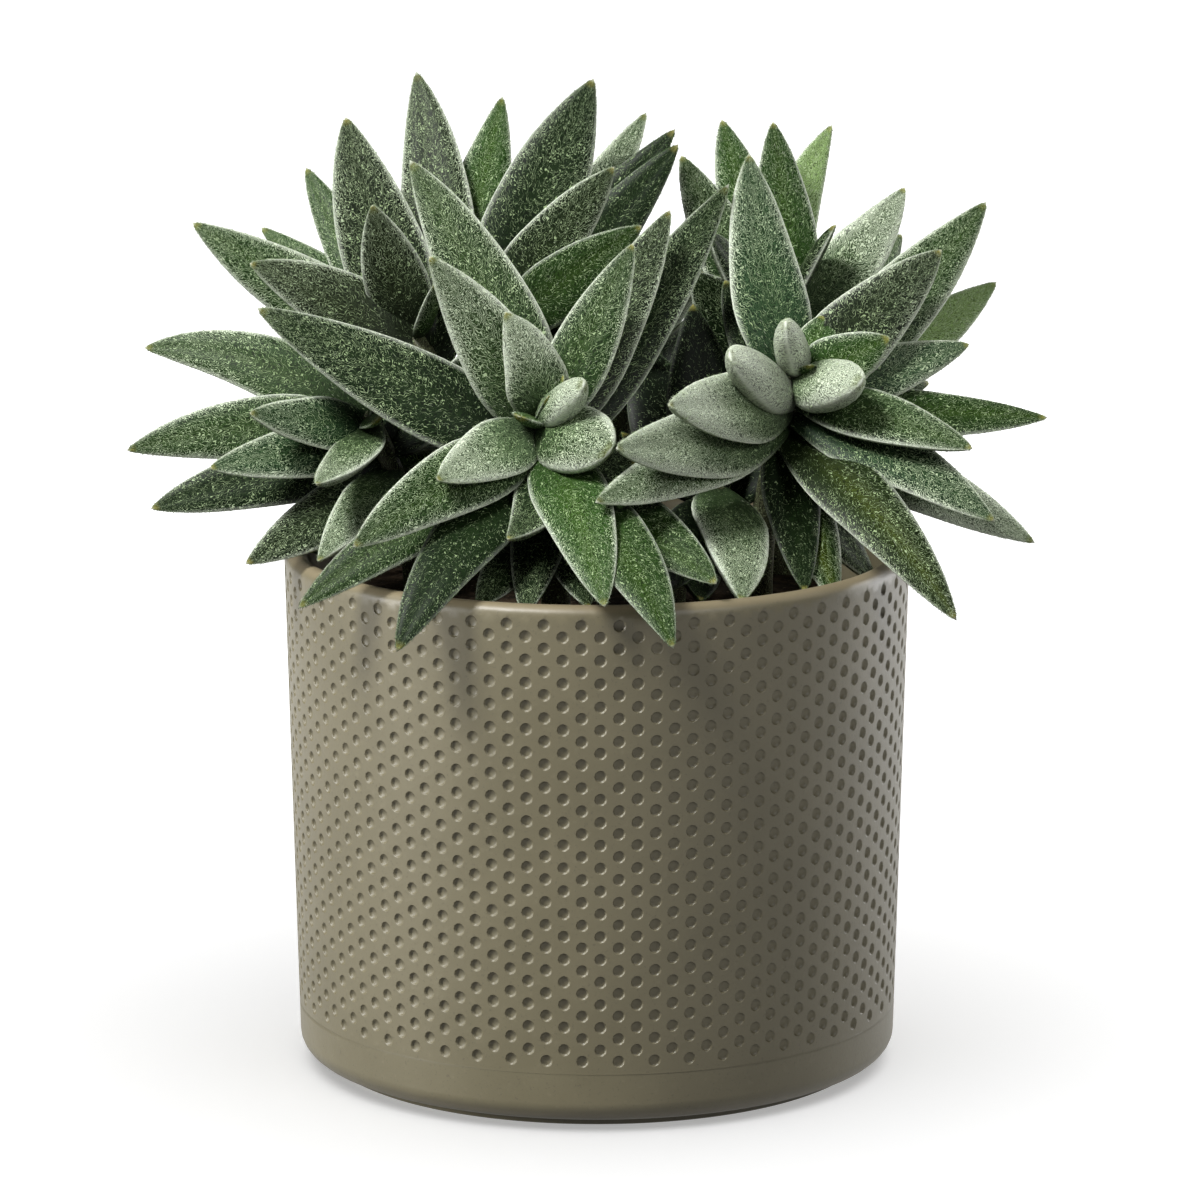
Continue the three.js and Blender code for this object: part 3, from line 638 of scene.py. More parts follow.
STEMS["left"] = dict(heart=(-28.5, 23, 10), foot=(-22, -6), leaves=[
    shown("sage", (-56.6, 31.5, 4), 2, 9, 0.75, mid=(0.5, 3, 0)),
    shown("sage", (-58.8, 18.7, 10), 2, 9, 0.75, mid=(0, 1.5, 0)),
    shown("teal", (-43.4, 23.4, 22), 1, 7.6, 0.75, mid=(0, -0.5, 0)),
    shown("teal", (-48.4, 16.5, 20), 3, 8.4, 0.7),
    shown("dark", (-55.8, 11.4, 12), 5, 9.2, 0.75, mid=(0, 0.6, 0)),
    shown("dusk", (-43.9, 4.5, 18), 8, 8.4, 0.75, mid=(0.5, 0.3, 0)),
    shown("ash", (-35.1, 14.5, 30), 1, 7, 0.4, mid=(0.5, -0.5, 0)),
    shown("ash", (-34.9, 4.8, 26), 7, 8, 0.5, mid=(1, 1, 0)),
    shown("grass", (-27.5, 22.6, 17), 0, 4, 0.3, young=True),
    shown("grass", (-27.6, 26.6, 12), 0, 4.4, 0.3, young=True),
    shown("dark", (-17.5, 26, 4), 5, 7.6, 0.5),
    shown("dark", (-16, 14, 8), 9, 7.6, 0.5),
    hidden("dark", 100, 26, 18, 4, 7.6),
    hidden("sage", 140, 8, 22, 6, 8.4),
    hidden("sage", 205, -14, 14, 13, 8),
])
STEMS["back_left"] = dict(heart=(-22.5, 33, -12), foot=(-14, 12), leaves=[
    shown("dusk", (-31.4, 60.4, -16), 2, 11.8, 0.9, mid=(-1, 0, 0)),
    shown("dusk", (-22.6, 66.1, -24), 5, 11.4, 0.9, mid=(1.5, 0, 0)),
    shown("plum", (-28.1, 49.4, -4), 0, 8.8, 0.8, mid=(-0.3, 0, 0)),
    shown("grass", (-36.4, 54.1, -24), 5, 8, 0.85, mid=(-1, 0, 0)),
    shown("sage", (-50.6, 47.2, -14), 3, 10.2, 0.85, mid=(-0.4, -0.5, 0)),
    shown("grass", (-42, 46.6, -26), 5, 8, 0.85),
    shown("plum", (-43.4, 42.1, -4), 2, 9.8, 0.8, mid=(-0.3, 0.7, 0)),
    shown("sage", (-20, 40, -4), 0, 5, 0.3, young=True),
    shown("grass", (-11.8, 63, -26), 4, 10, 0.9, mid=(0.6, 0, 0)),
    hidden("grass", 155, 14, 21, 10, 8.4),
    hidden("grass", 120, 40, 26, 8, 8.8),
    hidden("dark", 250, 10, 14, 12, 7),
    hidden("grass", 325, 40, 15, 7, 7),
    hidden("grass", 185, 0, 22, 16, 8.6),
    hidden("grass", 215, -16, 16, 21, 8),
])
STEMS["back"] = dict(heart=(-14, 36, -12), foot=(-3, 14), leaves=[
    shown("dark", (-0.4, 65.2, -14), 2, 13, 0.9, mid=(-0.5, 0, 0)),
    shown("dusk", (2.2, 54.2, -4), 1, 8.8, 0.85),
    shown("bare", (9.8, 58.9, -14), 4, 8.8, 0.85),
    shown("ash", (6.2, 61, -24), 5, 8.4, 0.85),
    shown("bare", (10.2, 57, -12), 6, 9.2, 0.85),
    shown("fern", (5.6, 46.8, 2), 3, 8.8, 0.85),
    shown("grass", (-16, 42, -6), 0, 5, 0.3, young=True),
    hidden("grass", 75, 56, 28, 6, 8.8),
    shown("dark", (8, 34.5, -3), 5, 8.4, 0.6),
    shown("dark", (13.5, 41, -12), 7, 8.8, 0.7),
    hidden("dark", 320, 24, 22, 12, 8.4),
    hidden("dark", 110, 30, 18, 13, 8),
])
STEMS["back_right"] = dict(heart=(25, 37, -16), foot=(14, 12), leaves=[
    shown("frost", (38.5, 51.6, -12), 3, 9, 0.75, mid=(0.9, -0.6, 0)),
    shown("grass", (22, 59.8, -14), 1, 8.8, 0.9),
    shown("grass", (15.6, 60.1, -22), 3, 9.4, 0.8, mid=(-0.3, 0, 0)),
    shown("mint", (29.4, 59.4, -22), 3, 7.8, 0.7, mid=(-2.1, 0, 0)),
    shown("dark", (29.9, 46.9, -8), 1, 6, 0.5),
    shown("sage", (10.5, 55.6, -18), 5, 9.4, 0.75, mid=(-0.5, 0, 0)),
    shown("dark", (14, 46, -6), 4, 8, 0.6),
    hidden("fern", 80, 44, 26, 7, 8.8),
    hidden("grass", 110, 52, 27, 7, 8.8),
    shown("dark", (11.8, 41, -8), 9, 9.4, 0.8),
    hidden("dark", 250, 24, 12, 12, 7),
    hidden("grass", 0, 14, 22, 12, 8.6),
    hidden("grass", 335, -6, 18, 18, 8),
    hidden("grass", 20, -8, 18, 18, 8),
])
STEMS["rear_left"] = dict(heart=(-25, 29, -31), foot=(-19, 22), leaves=[
    hidden("silver", 135, 60, 13, 0, 5.6, young=True),
    hidden("silver", 300, 66, 12, 0, 5.4, young=True),
    hidden("silver", 218, 28, 19, 1, 7.6, young=True),
    hidden("sage", 50, 42, 20, 1, 7.6),
    hidden("sage", 130, 30, 30, 3, 9.4),
    hidden("sage", 176, -6, 27, 5, 9),
    hidden("sage", 92, 12, 32, 5, 9.4),
    hidden("lime", 138, -4, 33, 9, 9.6, arch=2),
    hidden("sage", 108, -18, 30, 12, 8.8, arch=2),
    hidden("plum", 160, -22, 25, 13, 8.8, arch=2),
    hidden("dark", 225, -10, 15, 12, 7.6),
])
STEMS["rear"] = dict(heart=(3, 31, -33), foot=(3, 25), leaves=[
    hidden("silver", 100, 62, 14, 0, 5.6, young=True),
    hidden("silver", 280, 66, 13, 0, 5.4, young=True),
    hidden("silver", 10, 50, 21, 1, 7.6, young=True),
    hidden("sage", 190, 52, 21, 1, 7.6),
    hidden("sage", 90, 40, 30, 3, 9.4),
    hidden("sage", 50, 20, 32, 4, 9.4),
    hidden("lime", 128, 24, 30, 4, 9.4),
    hidden("sage", 88, 2, 35, 8, 10.6, arch=2),
    hidden("plum", 66, -18, 32, 12, 8.8, arch=2),
    hidden("sage", 110, -16, 31, 12, 8.8, arch=2),
    hidden("dark", 20, 0, 22, 9, 8.4),
    hidden("dark", 160, 4, 20, 9, 8.4),
])
STEMS["rear_right"] = dict(heart=(27, 28, -30), foot=(23, 17), leaves=[
    hidden("silver", 60, 60, 13, 0, 5.6, young=True),
    hidden("silver", 240, 70, 10, 0, 5, young=True),
    hidden("silver", 330, 40, 17, 1, 7, young=True),
    hidden("sage", 120, 50, 20, 1, 7.6),
    hidden("sage", 58, 36, 30, 3, 9.4),
    hidden("dark", 24, 4, 18, 5, 8),
    hidden("sage", 84, 20, 30, 5, 9.4),
    hidden("lime", 58, 0, 32, 8, 9.6, arch=2),
    hidden("sage", 30, -16, 26, 12, 8.8, arch=2),
    hidden("plum", 72, -18, 31, 12, 8.8, arch=2),
    hidden("dark", 345, -10, 15, 14, 7.6),
])
leaf_count = sum(len(stem["leaves"]) for stem in STEMS.values())
print("stems:", len(STEMS), "leaves:", leaf_count)

# %% [markdown]
# ## One leaf as a surface of two parameters
#
# A leaf is a path from its root to its tip with a section that swells and narrows on the way. The
# section has a flat upper face, rounded margins and a keeled underside. Sculpting 149 leaves by
# hand would take days and a subdivided box loses the thin margin, so the leaf is a grid: one
# parameter runs along it and the other round its section, and the whole grid is worked out at once.

# %% Path of a leaf
SOIL_EDGE_HEIGHT = 57.5
SOIL_MIDDLE_HEIGHT = 60.0
SOIL_RADIUS = 35.8
HOLE_DEPTH = 8.0
STEM_RADIUS = 1.9


def bezier(start, middle, end, share):
    """Places and directions on a curve that leaves start towards middle and comes to end."""
    t = np.asarray(share)[:, None]
    places = (1 - t) ** 2 * start + 2 * t * (1 - t) * middle + t**2 * end
    ways = 2 * (1 - t) * (middle - start) + 2 * t * (end - middle)
    return places, unit(ways)


def stem_path(stem):
    """The stem's curve: upright from the soil, then bent to its heart."""
    heart = seen(*stem["heart"])
    foot = np.array([*stem["foot"], SOIL_EDGE_HEIGHT])
    bend = np.array([*stem["foot"], (foot[2] + heart[2]) / 2])
    return foot, bend, heart


def place_below_heart(path, low):
    """Where the stem's curve is, and its direction there, at a length of low below its end."""
    share = np.linspace(0, 1, 201)
    places, _ = bezier(*path, share)
    lengths = np.concatenate([[0], np.cumsum(np.linalg.norm(np.diff(places, axis=0), axis=1))])
    at = np.interp(lengths[-1] - low, lengths, share)
    place, way = bezier(*path, [at])
    return place[0], way[0]


def leaf_frame(path, leaf):
    """Root, middle and tip of a leaf's curve and the direction that its upper face looks in."""
    root, axis = place_below_heart(path, leaf["low"])
    if "tip" in leaf:
        tip = seen(*leaf["tip"])
    else:
        around, rise = math.radians(leaf["around"]), math.radians(leaf["rise"])
        level = math.cos(rise)
        way = np.array([level * math.cos(around), level * math.sin(around), math.sin(rise)])
        tip = root + leaf["long"] * way
    along = unit(tip - root)
    show = leaf.get("show", 0)
    face = unit(axis - along * (axis @ along)) * (1 - show)
    face = unit(face + unit(SIGHT_NEAR - along * (SIGHT_NEAR @ along)) * show)
    right, up, near = leaf.get("mid", (0, 0, 0))
    middle = (root + tip) / 2 + 2 * up * SIGHT_UP + 2 * near * SIGHT_NEAR
    middle = middle + 2 * leaf.get("arch", 0) * face + [2 * right, 0, 0]
    return root, middle, tip, face


# %% Section and surface of a leaf
LEAF_THICKNESS = 0.36
LEAF_RINGS = 22
LEAF_SIDES = 24
SECTION_TURN = 2 * np.pi * np.arange(LEAF_SIDES) / LEAF_SIDES
ACROSS = -np.cos(SECTION_TURN)
WIDEST = 0.42
ROOT_WIDTH = 0.34
TIP_CROWDING = 1.35
MARGIN_WAVE = 0.025
TWIST = 0.1


def width_share(s, young):
    """Width along a leaf: 0.34 + 0.66 sin to the widest place, times (1 - s^a)^b to the tip."""
    swelling = np.sin(np.pi / 2 * np.minimum(1, s / WIDEST))
    from_root = ROOT_WIDTH + (1 - ROOT_WIDTH) * swelling
    return from_root * ((1 - s**4) ** 0.6 if young else (1 - s**2.8) ** 0.85)


def thickness_share(s):
    """Thickness along a leaf: it grows over the first third and thins to the tip."""
    return (0.5 + 0.5 * np.sin(np.pi / 2 * np.minimum(1, s / 0.3))) * (1 - s**4) ** 0.7


def section(plump):
    """Height of a leaf's section in thicknesses, from margin to margin (a, -1 to 1) and back.

    The upper half is 0.2 (1 - |a|^3)^0.7 with a groove at the middle, and the lower half is
    -0.8 (1 - a^2)^0.8. A plump leaf is nearly an oval, 0.42 (1 - a^2)^0.55 over
    -0.58 (1 - a^2)^0.55."""
    inside = np.clip(1 - ACROSS**2, 0, 1)
    upper = 0.2 * (1 - np.abs(ACROSS) ** 3) ** 0.7 - 0.07 * np.exp(-((ACROSS / 0.3) ** 2))
    lower = -0.8 * inside**0.8
    if plump:
        upper = 0.42 * inside**0.55 - 0.03 * np.exp(-((ACROSS / 0.12) ** 2))
        lower = -0.58 * inside**0.55
    over = np.sin(SECTION_TURN)
    return np.where(over > 1e-9, upper, np.where(over < -1e-9, lower, 0))


def leaf_surface(path, leaf, dice):
    """A leaf's grid of points, how far along (0 to 1) each ring is, and its root and tip.

    place = curve(s) + side * width(s) * a + up * thickness(s) * height(a), where the margins wave
    by a few hundredths and the section turns by a few degrees to the tip."""
    root, middle, tip, face = leaf_frame(path, leaf)
    s = (1 - (1 - np.linspace(0, 1, LEAF_RINGS)) ** TIP_CROWDING)[:-1]
    places, forward = bezier(root, middle, tip, s)
    up = unit(face - forward * (forward @ face)[:, None])
    side = np.cross(forward, up)
    twist = (dice.normal(0, TWIST) * s)[:, None]
    side, up = side * np.cos(twist) + up * np.sin(twist), up * np.cos(twist) - side * np.sin(twist)
    wave = 1 + MARGIN_WAVE * np.sin(s * dice.uniform(8, 14) + dice.uniform(0, 6)) * s
    half = leaf["wide"] / 2 * width_share(s, leaf.get("young", False)) * wave
    thick = leaf["wide"] * leaf.get("thick", LEAF_THICKNESS) * thickness_share(s)
    height = section("thick" in leaf)
    points = places[:, None] + side[:, None] * (ACROSS * half[:, None])[..., None]
    points = points + up[:, None] * (height * thick[:, None])[..., None]
    return points, s, root, tip


print("points of a leaf:", (LEAF_RINGS - 1) * LEAF_SIDES + 2)

# %% [markdown]
# ## Colours that grow with the leaf
#
# The felt of hairs is thick on the margins and the tip and thin on the middle of the face, and each
# leaf ends in a small yellow point. These are values at the mesh's points: tone is the skin's
# colour, darkened towards the root as painted shade, felt is how much of it the hairs hide, edge is
# the pale rim of the margins, and flow is a place in the slanted rows that the hairs lie in.

# %% Leaf looks
def leaf_look(skin, streak, felt, streaked, shade):
    """A leaf's colours: its skin and its middle streak, in thousandths of red, green and blue.

    felt is how thick its wool is, streaked how plain the streak is and shade how dark its hairs
    are, partly painted shade for leaves in shadow."""
    return dict(skin=np.array(skin) / 1000, streak=np.array(streak) / 1000, felt=felt,
                streaked=streaked, shade=shade)


# dusk, fern, bare and dark are darkened as painted shade, gloom is nearly black as painted shade,
# and pearl and mint are paler as painted light.
LOOKS = {
    "sage": leaf_look((32, 70, 18), (70, 125, 26), 0.47, 0.35, 0.40),
    "teal": leaf_look((38, 85, 34), (60, 120, 36), 0.55, 0.30, 0.35),
    "silver": leaf_look((185, 260, 140), (150, 230, 70), 0.88, 0.30, 0.05),
    "pearl": leaf_look((720, 780, 640), (540, 630, 420), 1.00, 0.20, 0.05),
    "frost": leaf_look((115, 180, 85), (110, 180, 55), 0.78, 0.30, 0.15),
    "ash": leaf_look((65, 115, 42), (80, 145, 40), 0.66, 0.30, 0.30),
    "mint": leaf_look((350, 530, 190), (360, 530, 180), 0.44, 0.40, 0.30),
    "grass": leaf_look((38, 94, 18), (78, 150, 22), 0.40, 0.50, 0.50),
    "lime": leaf_look((26, 60, 12), (110, 155, 12), 0.42, 0.70, 0.45),
    "plum": leaf_look((38, 54, 26), (55, 80, 24), 0.47, 0.30, 0.45),
    "moss": leaf_look((20, 38, 8), (95, 130, 14), 0.36, 0.50, 0.55),
    "dusk": leaf_look((20, 34, 13), (34, 56, 14), 0.44, 0.30, 0.40),
    "fern": leaf_look((24, 58, 11), (50, 100, 13), 0.30, 0.50, 0.60),
    "bare": leaf_look((10, 24, 6), (18, 40, 8), 0.16, 0.30, 0.90),
    "dark": leaf_look((10, 25, 6), (22, 48, 9), 0.36, 0.30, 0.75),
    "gloom": leaf_look((4, 9, 3), (6, 12, 3), 0.06, 0.30, 0.97),
}
print("looks:", len(LOOKS))

# %% Values at the points of a leaf
POINT_COLOUR = np.array([0.42, 0.39, 0.10])
POINT_STRENGTH = 0.65
PLUMP_POINT_STRENGTH = 0.25
POINT_START, POINT_FULL = 1.0, 0.3
ROW_SLANT = math.radians(32)


def leaf_values(leaf, s, length, dice):
    """tone, felt, edge and flow at each point of a leaf's grid.

    tone goes from the skin to the streak at the midline, is darker towards the root as painted
    shade and yellow at the point. felt grows to the tip and to the margins. edge shows on the
    margins alone. flow is the place on the leaf, out from the midline and along it, turned by the
    rows' slant."""
    look = LOOKS[leaf["look"]]
    s = np.broadcast_to(s[:, None], (len(s), LEAF_SIDES))
    a = np.broadcast_to(ACROSS, s.shape)
    skin = look["skin"] * dice.uniform(0.85, 1.15)
    line = np.exp(-((a - dice.normal(0, 0.08)) / 0.3) ** 2) * look["streaked"]
    tone = skin + (look["streak"] - skin) * (line * smooth_step(0.05, 0.5, s))[..., None]
    # Painted shade: the skin darkens towards the root, where the leaves crowd round the stem.
    tone = tone * (0.35 + 0.40 * smooth_step(0, 0.5, s))[..., None]
    strength = PLUMP_POINT_STRENGTH if "thick" in leaf else POINT_STRENGTH
    point = smooth_step(1 - POINT_START / length, 1 - POINT_FULL / length, s) * strength
    tone = tone + (POINT_COLOUR - tone) * point[..., None]
    margin = 0.5 * smooth_step(0.5, 0.98, np.abs(a)) + 0.5 * smooth_step(0.78, 1.0, np.abs(a))
    rim = min(1.0, 2.4 * look["felt"])
    felt = look["felt"] * (0.25 + 0.80 * smooth_step(0.05, 0.75, s)) + 0.42 * rim * margin
    felt = felt * (0.35 + 0.65 * smooth_step(0.05, 0.4, s)) * (1 - point)
    far, out = s * length, np.abs(a) * leaf["wide"] / 2
    rows = out * math.cos(ROW_SLANT) - far * math.sin(ROW_SLANT)
    way = out * math.sin(ROW_SLANT) + far * math.cos(ROW_SLANT)
    flow = np.stack([rows, way, a * 0.8 + dice.uniform(0, 500)], axis=-1)
    edge = rim * smooth_step(0.95, 1.0, np.abs(a)) * smooth_step(0.1, 0.35, s) * (1 - point * 0.8)
    return {"tone": tone, "felt": np.clip(felt, 0, 1), "edge": edge, "flow": flow}


# %% [markdown]
# ## Hairs
#
# The hairs are real slivers of mesh, because particle hair is lost when the model is exported. Each
# has a three-sided root in the skin and runs to a point, four triangles in all. On the faces they
# lie almost flat and sweep from the midline to the margin. Along the margins they stand out as a
# fringe that catches the light.

# %% Hair slivers
FACE_HAIRS = 1.5
SILVER_MORE = 1.3
FRINGE_STEP = 0.11
FACE_LENGTH, FRINGE_LENGTH = 0.45, 0.18
FRINGE_WIDTH = 0.7
HAIR_SET = 0.03
FACE_LIFT, FRINGE_LIFT = (0.04, 0.2), (0.25, 0.9)
HAIR_STRAY = 0.06
LENGTH_SPREAD = (0.7, 1.25)
HAIR_WIDTH = (0.07, 0.10)


def slivers(roots, ways, normals, lengths, widths):
    """A pointed three-sided sliver for each root: two root corners beside it and one above it.

    tip = root + way * length, side = normal x way. Returns points and triangles."""
    side = unit(np.cross(normals, ways))
    lift = np.cross(ways, side)
    half = (widths / 2)[:, None]
    left, right = roots - side * half, roots + side * half
    top = roots + lift * half * 1.4
    tips = roots + ways * lengths[:, None]
    points = np.stack([left, right, top, tips], axis=1)
    corner = np.array([[0, 2, 1], [0, 1, 3], [1, 2, 3], [2, 0, 3]])
    faces = corner[None] + (np.arange(len(roots)) * 4)[:, None, None]
    return points.reshape(-1, 3), faces.reshape(-1, 3)


def grid_at(grid, row, column):
    """Values of a grid between its points: row runs along it and column round it."""
    rows, columns = grid.shape[:2]
    r, c = np.clip(row, 0, rows - 1.001), column % columns
    i, j = r.astype(int), c.astype(int)
    u, v = (r - i)[:, None], (c - j)[:, None]
    after = (j + 1) % columns
    near = grid[i, j] * (1 - v) + grid[i, after] * v
    return near * (1 - u) + (grid[i + 1, j] * (1 - v) + grid[i + 1, after] * v) * u


def hair_bed(grid):
    """Directions on a leaf's grid: along it, outwards round it, and the normal of its surface."""
    along = np.gradient(grid, axis=0)
    around = (np.roll(grid, -1, axis=1) - np.roll(grid, 1, axis=1)) / 2
    return unit(along), unit(around), unit(np.cross(around, along))


def leaf_hairs(grid, leaf, length, dice):
    """Roots, ways, normals, lengths and widths of one leaf's hairs.

    The hairs of its faces come first, then its fringe. A face hair leaves the midline at 22
    degrees and the margin at 60, and lies almost flat."""
    rings, sides = grid.shape[:2]
    more = SILVER_MORE if leaf["look"] == "silver" else 1.0
    count = int(1.3 * leaf["wide"] * length * FACE_HAIRS * more)
    row = dice.uniform(0.1, 1, count) ** 0.9 * (rings - 1)
    column = dice.uniform(0, sides, count)
    rim_row = np.arange(0.12, 1.0, FRINGE_STEP / length) * (rings - 1)
    rim_column = np.repeat([0, sides / 2], len(rim_row)) + dice.normal(0, 0.5, 2 * len(rim_row))
    a = np.concatenate([-np.cos(2 * np.pi * column / sides), np.repeat([-1.0, 1.0], len(rim_row))])
    row = np.concatenate([row, rim_row, rim_row + 0.3])
    column = np.concatenate([column, rim_column])
    fringe = np.arange(len(row)) >= count
    root = grid_at(grid, row, column)
    t, r, n = (unit(grid_at(field, row, column)) for field in hair_bed(grid))
    outward = np.sign(np.sin(2 * np.pi * column / sides) + 1e-9) * np.sign(a)
    slant = np.radians(np.clip(22 + 38 * np.abs(a), 0, 60)) + dice.normal(0, 0.3, len(row))
    lay = t * np.cos(slant)[:, None] + r * (outward * np.sin(slant))[:, None]
    fringe_lift = dice.uniform(*FRINGE_LIFT, len(row))
    lift = np.where(fringe, fringe_lift, dice.uniform(*FACE_LIFT, len(row)))
    lay = np.where(fringe[:, None], t, lay)
    way = unit(lay + n * lift[:, None] + dice.normal(0, HAIR_STRAY, (len(row), 3)))
    size = dice.uniform(*LENGTH_SPREAD, len(row)) * np.where(fringe, FRINGE_LENGTH, FACE_LENGTH)
    width = dice.uniform(*HAIR_WIDTH, len(row)) * np.where(fringe, FRINGE_WIDTH, 1.0)
    return root - n * HAIR_SET, way, n, size, width


# %% Leaf and hair finishes
ROW_WIDTH = 0.34
DRIFT_SCALE = 0.5
DRIFT_REACH = (2.2, 2.2, 0.0)
SWIRL_SCALE = 2.4
SWIRL_REACH = (0.9, 0.9, 0.0)
PILE_SCALE = 5.0
SKIN_BUMP = (0.00009, 0.6)
WOOL = ((0.40, 0.475, 0.32), (0.62, 0.69, 0.54))
STRAND = ((0.350, 0.460, 0.240), (0.610, 0.680, 0.520))
RIM_COLOUR = (0.80, 0.85, 0.73)
BLACK = (0.0, 0.0, 0.0)
HAIR_PALE = ((0.30, 0.38, 0.21), (0.56, 0.62, 0.46))
HAIR_SHADED = (0.07, 0.12, 0.045)


def skin_finish():
    """Skin: the leaf's tone, darker at the root as painted shade, under a pale haze and slanted
    rows of fine hair, with painted shade in the gaps between the rows.

    The haze grows with the felt. The rows are waves across the flow, sin(2 pi x / row width). A
    slow and a quick noise bend them like the lines of a fingerprint, and a fine noise breaks them.
    They are cut at a level that falls as the felt grows: lines = step(1.1 - 0.48 felt)."""
    skin = Finish("leaf_skin")
    flow = skin.attribute("flow", output=1)
    felt = skin.attribute("felt", output=2)
    edge = skin.attribute("edge", output=2)
    tone = skin.attribute("tone", output=0)
    drift = skin.noise(flow, DRIFT_SCALE, detail=1.0, output=1)
    swirl = skin.noise(flow, SWIRL_SCALE, detail=0.0, output=1)
    bent = skin.vector("MULTIPLY_ADD", drift, DRIFT_REACH, flow)
    bent = skin.vector("MULTIPLY_ADD", swirl, SWIRL_REACH, bent)
    across = skin.node("ShaderNodeSeparateXYZ", {}, {0: bent})
    rows = (across * (2 * math.pi / ROW_WIDTH)).math("SINE") * 0.5 + 0.5
    stretched = skin.vector("MULTIPLY", bent, (1.0, 0.4, 1.0))
    pile = skin.noise(stretched, PILE_SCALE, detail=0.0) * 0.8 - 0.4 + rows
    level = 1.1 - felt * 0.48
    lines = pile.between(level - 0.08, level + 0.16)
    # Painted shade: the skin darkens towards black in the gaps between the rows of hair.
    gap = pile.between(0.0, 0.65) * 0.7 + 0.3
    wool = skin.mix(felt.between(0.8, 1.0), *WOOL)
    body = skin.mix(felt.between(0.62, 1.0) * 0.65, tone, wool)
    body = skin.mix(gap, BLACK, body)
    strand = skin.mix(felt.between(0.3, 0.95), *STRAND)
    colour = skin.mix(lines * 0.85, body, strand)
    colour = skin.mix(edge, colour, RIM_COLOUR)
    normal = skin.bump(lines, *SKIN_BUMP)
    rough = lines * 0.25 + 0.45
    return skin.surface(Base_Color=colour, Roughness=rough, Normal=normal, Specular_IOR_Level=0.1)


def hair_finish():
    """Hair: nearly white, greener and darker over a darker leaf, partly the skin showing through
    and partly painted shade, and not quite the same twice.
    """
    hair = Finish("leaf_hair")
    shade = hair.attribute("shade", output=2)
    tint = hair.noise(hair.objects_place(), 500.0, detail=1.0)
    colour = hair.mix(tint.between(0.35, 0.65), *HAIR_PALE)
    # Partly painted shade: hairs darken towards deep green with their leaf's look, most on leaves
    # in shadow.
    colour = hair.mix(shade, colour, HAIR_SHADED)
    return hair.surface(Base_Color=colour, Roughness=0.55, Specular_IOR_Level=0.15)


skin_material, hair_material = skin_finish(), hair_finish()

# %% Growing every stem
ROD_RINGS = 9
ROD_SIDES = 16
ROD_TAPER = 0.68
ROD_DOME = 0.8
BARK = dict(tone=(0.07, 0.075, 0.04), felt=0.15, edge=0.0)
FIRST_SEED = 11


def stem_rod(stem, path):
    """The stem's own rod: rings along its curve, from its hole in the soil to its heart."""
    places, _ = bezier(*path, np.linspace(0, 1, ROD_RINGS))
    x, y = stem["foot"]
    soil_drop = (SOIL_MIDDLE_HEIGHT - SOIL_EDGE_HEIGHT) * (math.hypot(x, y) / SOIL_RADIUS) ** 2
    centres = np.concatenate([[[x, y, SOIL_MIDDLE_HEIGHT - soil_drop - HOLE_DEPTH]], places])
    radii = STEM_RADIUS * np.concatenate([[1], np.linspace(1, ROD_TAPER, ROD_RINGS)])
    turn = 2 * np.pi * np.arange(ROD_SIDES) / ROD_SIDES
    ring = np.column_stack([np.cos(turn), np.sin(turn), np.zeros(ROD_SIDES)])
    rod = centres[:, None] + ring[None] * radii[:, None, None]
    return closed_tube(rod, centres[0], centres[-1] + [0, 0, ROD_DOME])


def closed_tube(grid, start, end):
    """The points and faces of a grid whose first and last ring are drawn to one point each."""
    rings, sides = grid.shape[:2]
    count = rings * sides
    points = np.concatenate([grid.reshape(count, 3), [start, end]])
    return points, tube_faces(rings, sides, start=count, end=count + 1)


def grow(name, stem, seed):
    """The leaves, hairs and rod of one stem, as two pieces."""
    dice = np.random.default_rng(seed)
    path = stem_path(stem)
    tubes, hairs, shades = [], [], []
    values = {"tone": [], "felt": [], "edge": [], "flow": []}
    for leaf in stem["leaves"]:
        grid, s, root, tip = leaf_surface(path, leaf, dice)
        length = float(np.linalg.norm(tip - root))
        tubes.append(closed_tube(grid, root, tip))
        for key, field in leaf_values(leaf, s, length, dice).items():
            flat_field = field.reshape(s.size * LEAF_SIDES, *field.shape[2:])
            values[key] += [flat_field, field[[0, -1], 0]]
        hairs.append(slivers(*leaf_hairs(grid, leaf, length, dice)))
        shade = LOOKS[leaf["look"]]["shade"] * dice.uniform(0.7, 1.2)
        shades.append(np.full(len(hairs[-1][0]), min(shade, 1.0)))
    rod_points, rod_faces = stem_rod(stem, path)
    tubes.append((rod_points, rod_faces))
    for key, value in BARK.items():
        values[key].append(np.full((len(rod_points), *np.shape(value)), value))
    values["flow"].append(rod_points)
    leaves = make_piece(f"leaves_{name}", *together(tubes),
                        {key: np.concatenate(parts) for key, parts in values.items()})
    finish_with(leaves, skin_material)
    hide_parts(f"stem_{name}")
    hair_piece = make_piece(f"hairs_{name}", *together(hairs), {"shade": np.concatenate(shades)})
    finish_with(hair_piece, hair_material)
    return len(leaves.data.polygons), len(hair_piece.data.polygons)


totals = np.array([grow(name, stem, seed)
                   for seed, (name, stem) in enumerate(STEMS.items(), FIRST_SEED)])
print("leaf triangles:", totals[:, 0].sum(), "hair triangles:", totals[:, 1].sum(), totals[:, 1])

# %% [markdown]
# ## The soil
#
# Little of the soil shows, dark between the stems. It keeps the CAD node and gets a crumbly finish:
# coarse and fine noise for lumps, pale specks of grit and a strong bump.

# %% Soil material
SOIL_DARK = (0.012, 0.009, 0.006)
SOIL_LIGHT = (0.055, 0.038, 0.024)
GRIT = (0.25, 0.2, 0.14)
LUMP_SCALE = 380.0
GRIT_SCALE = 1500.0
SOIL_BUMP = (0.0012, 0.9)


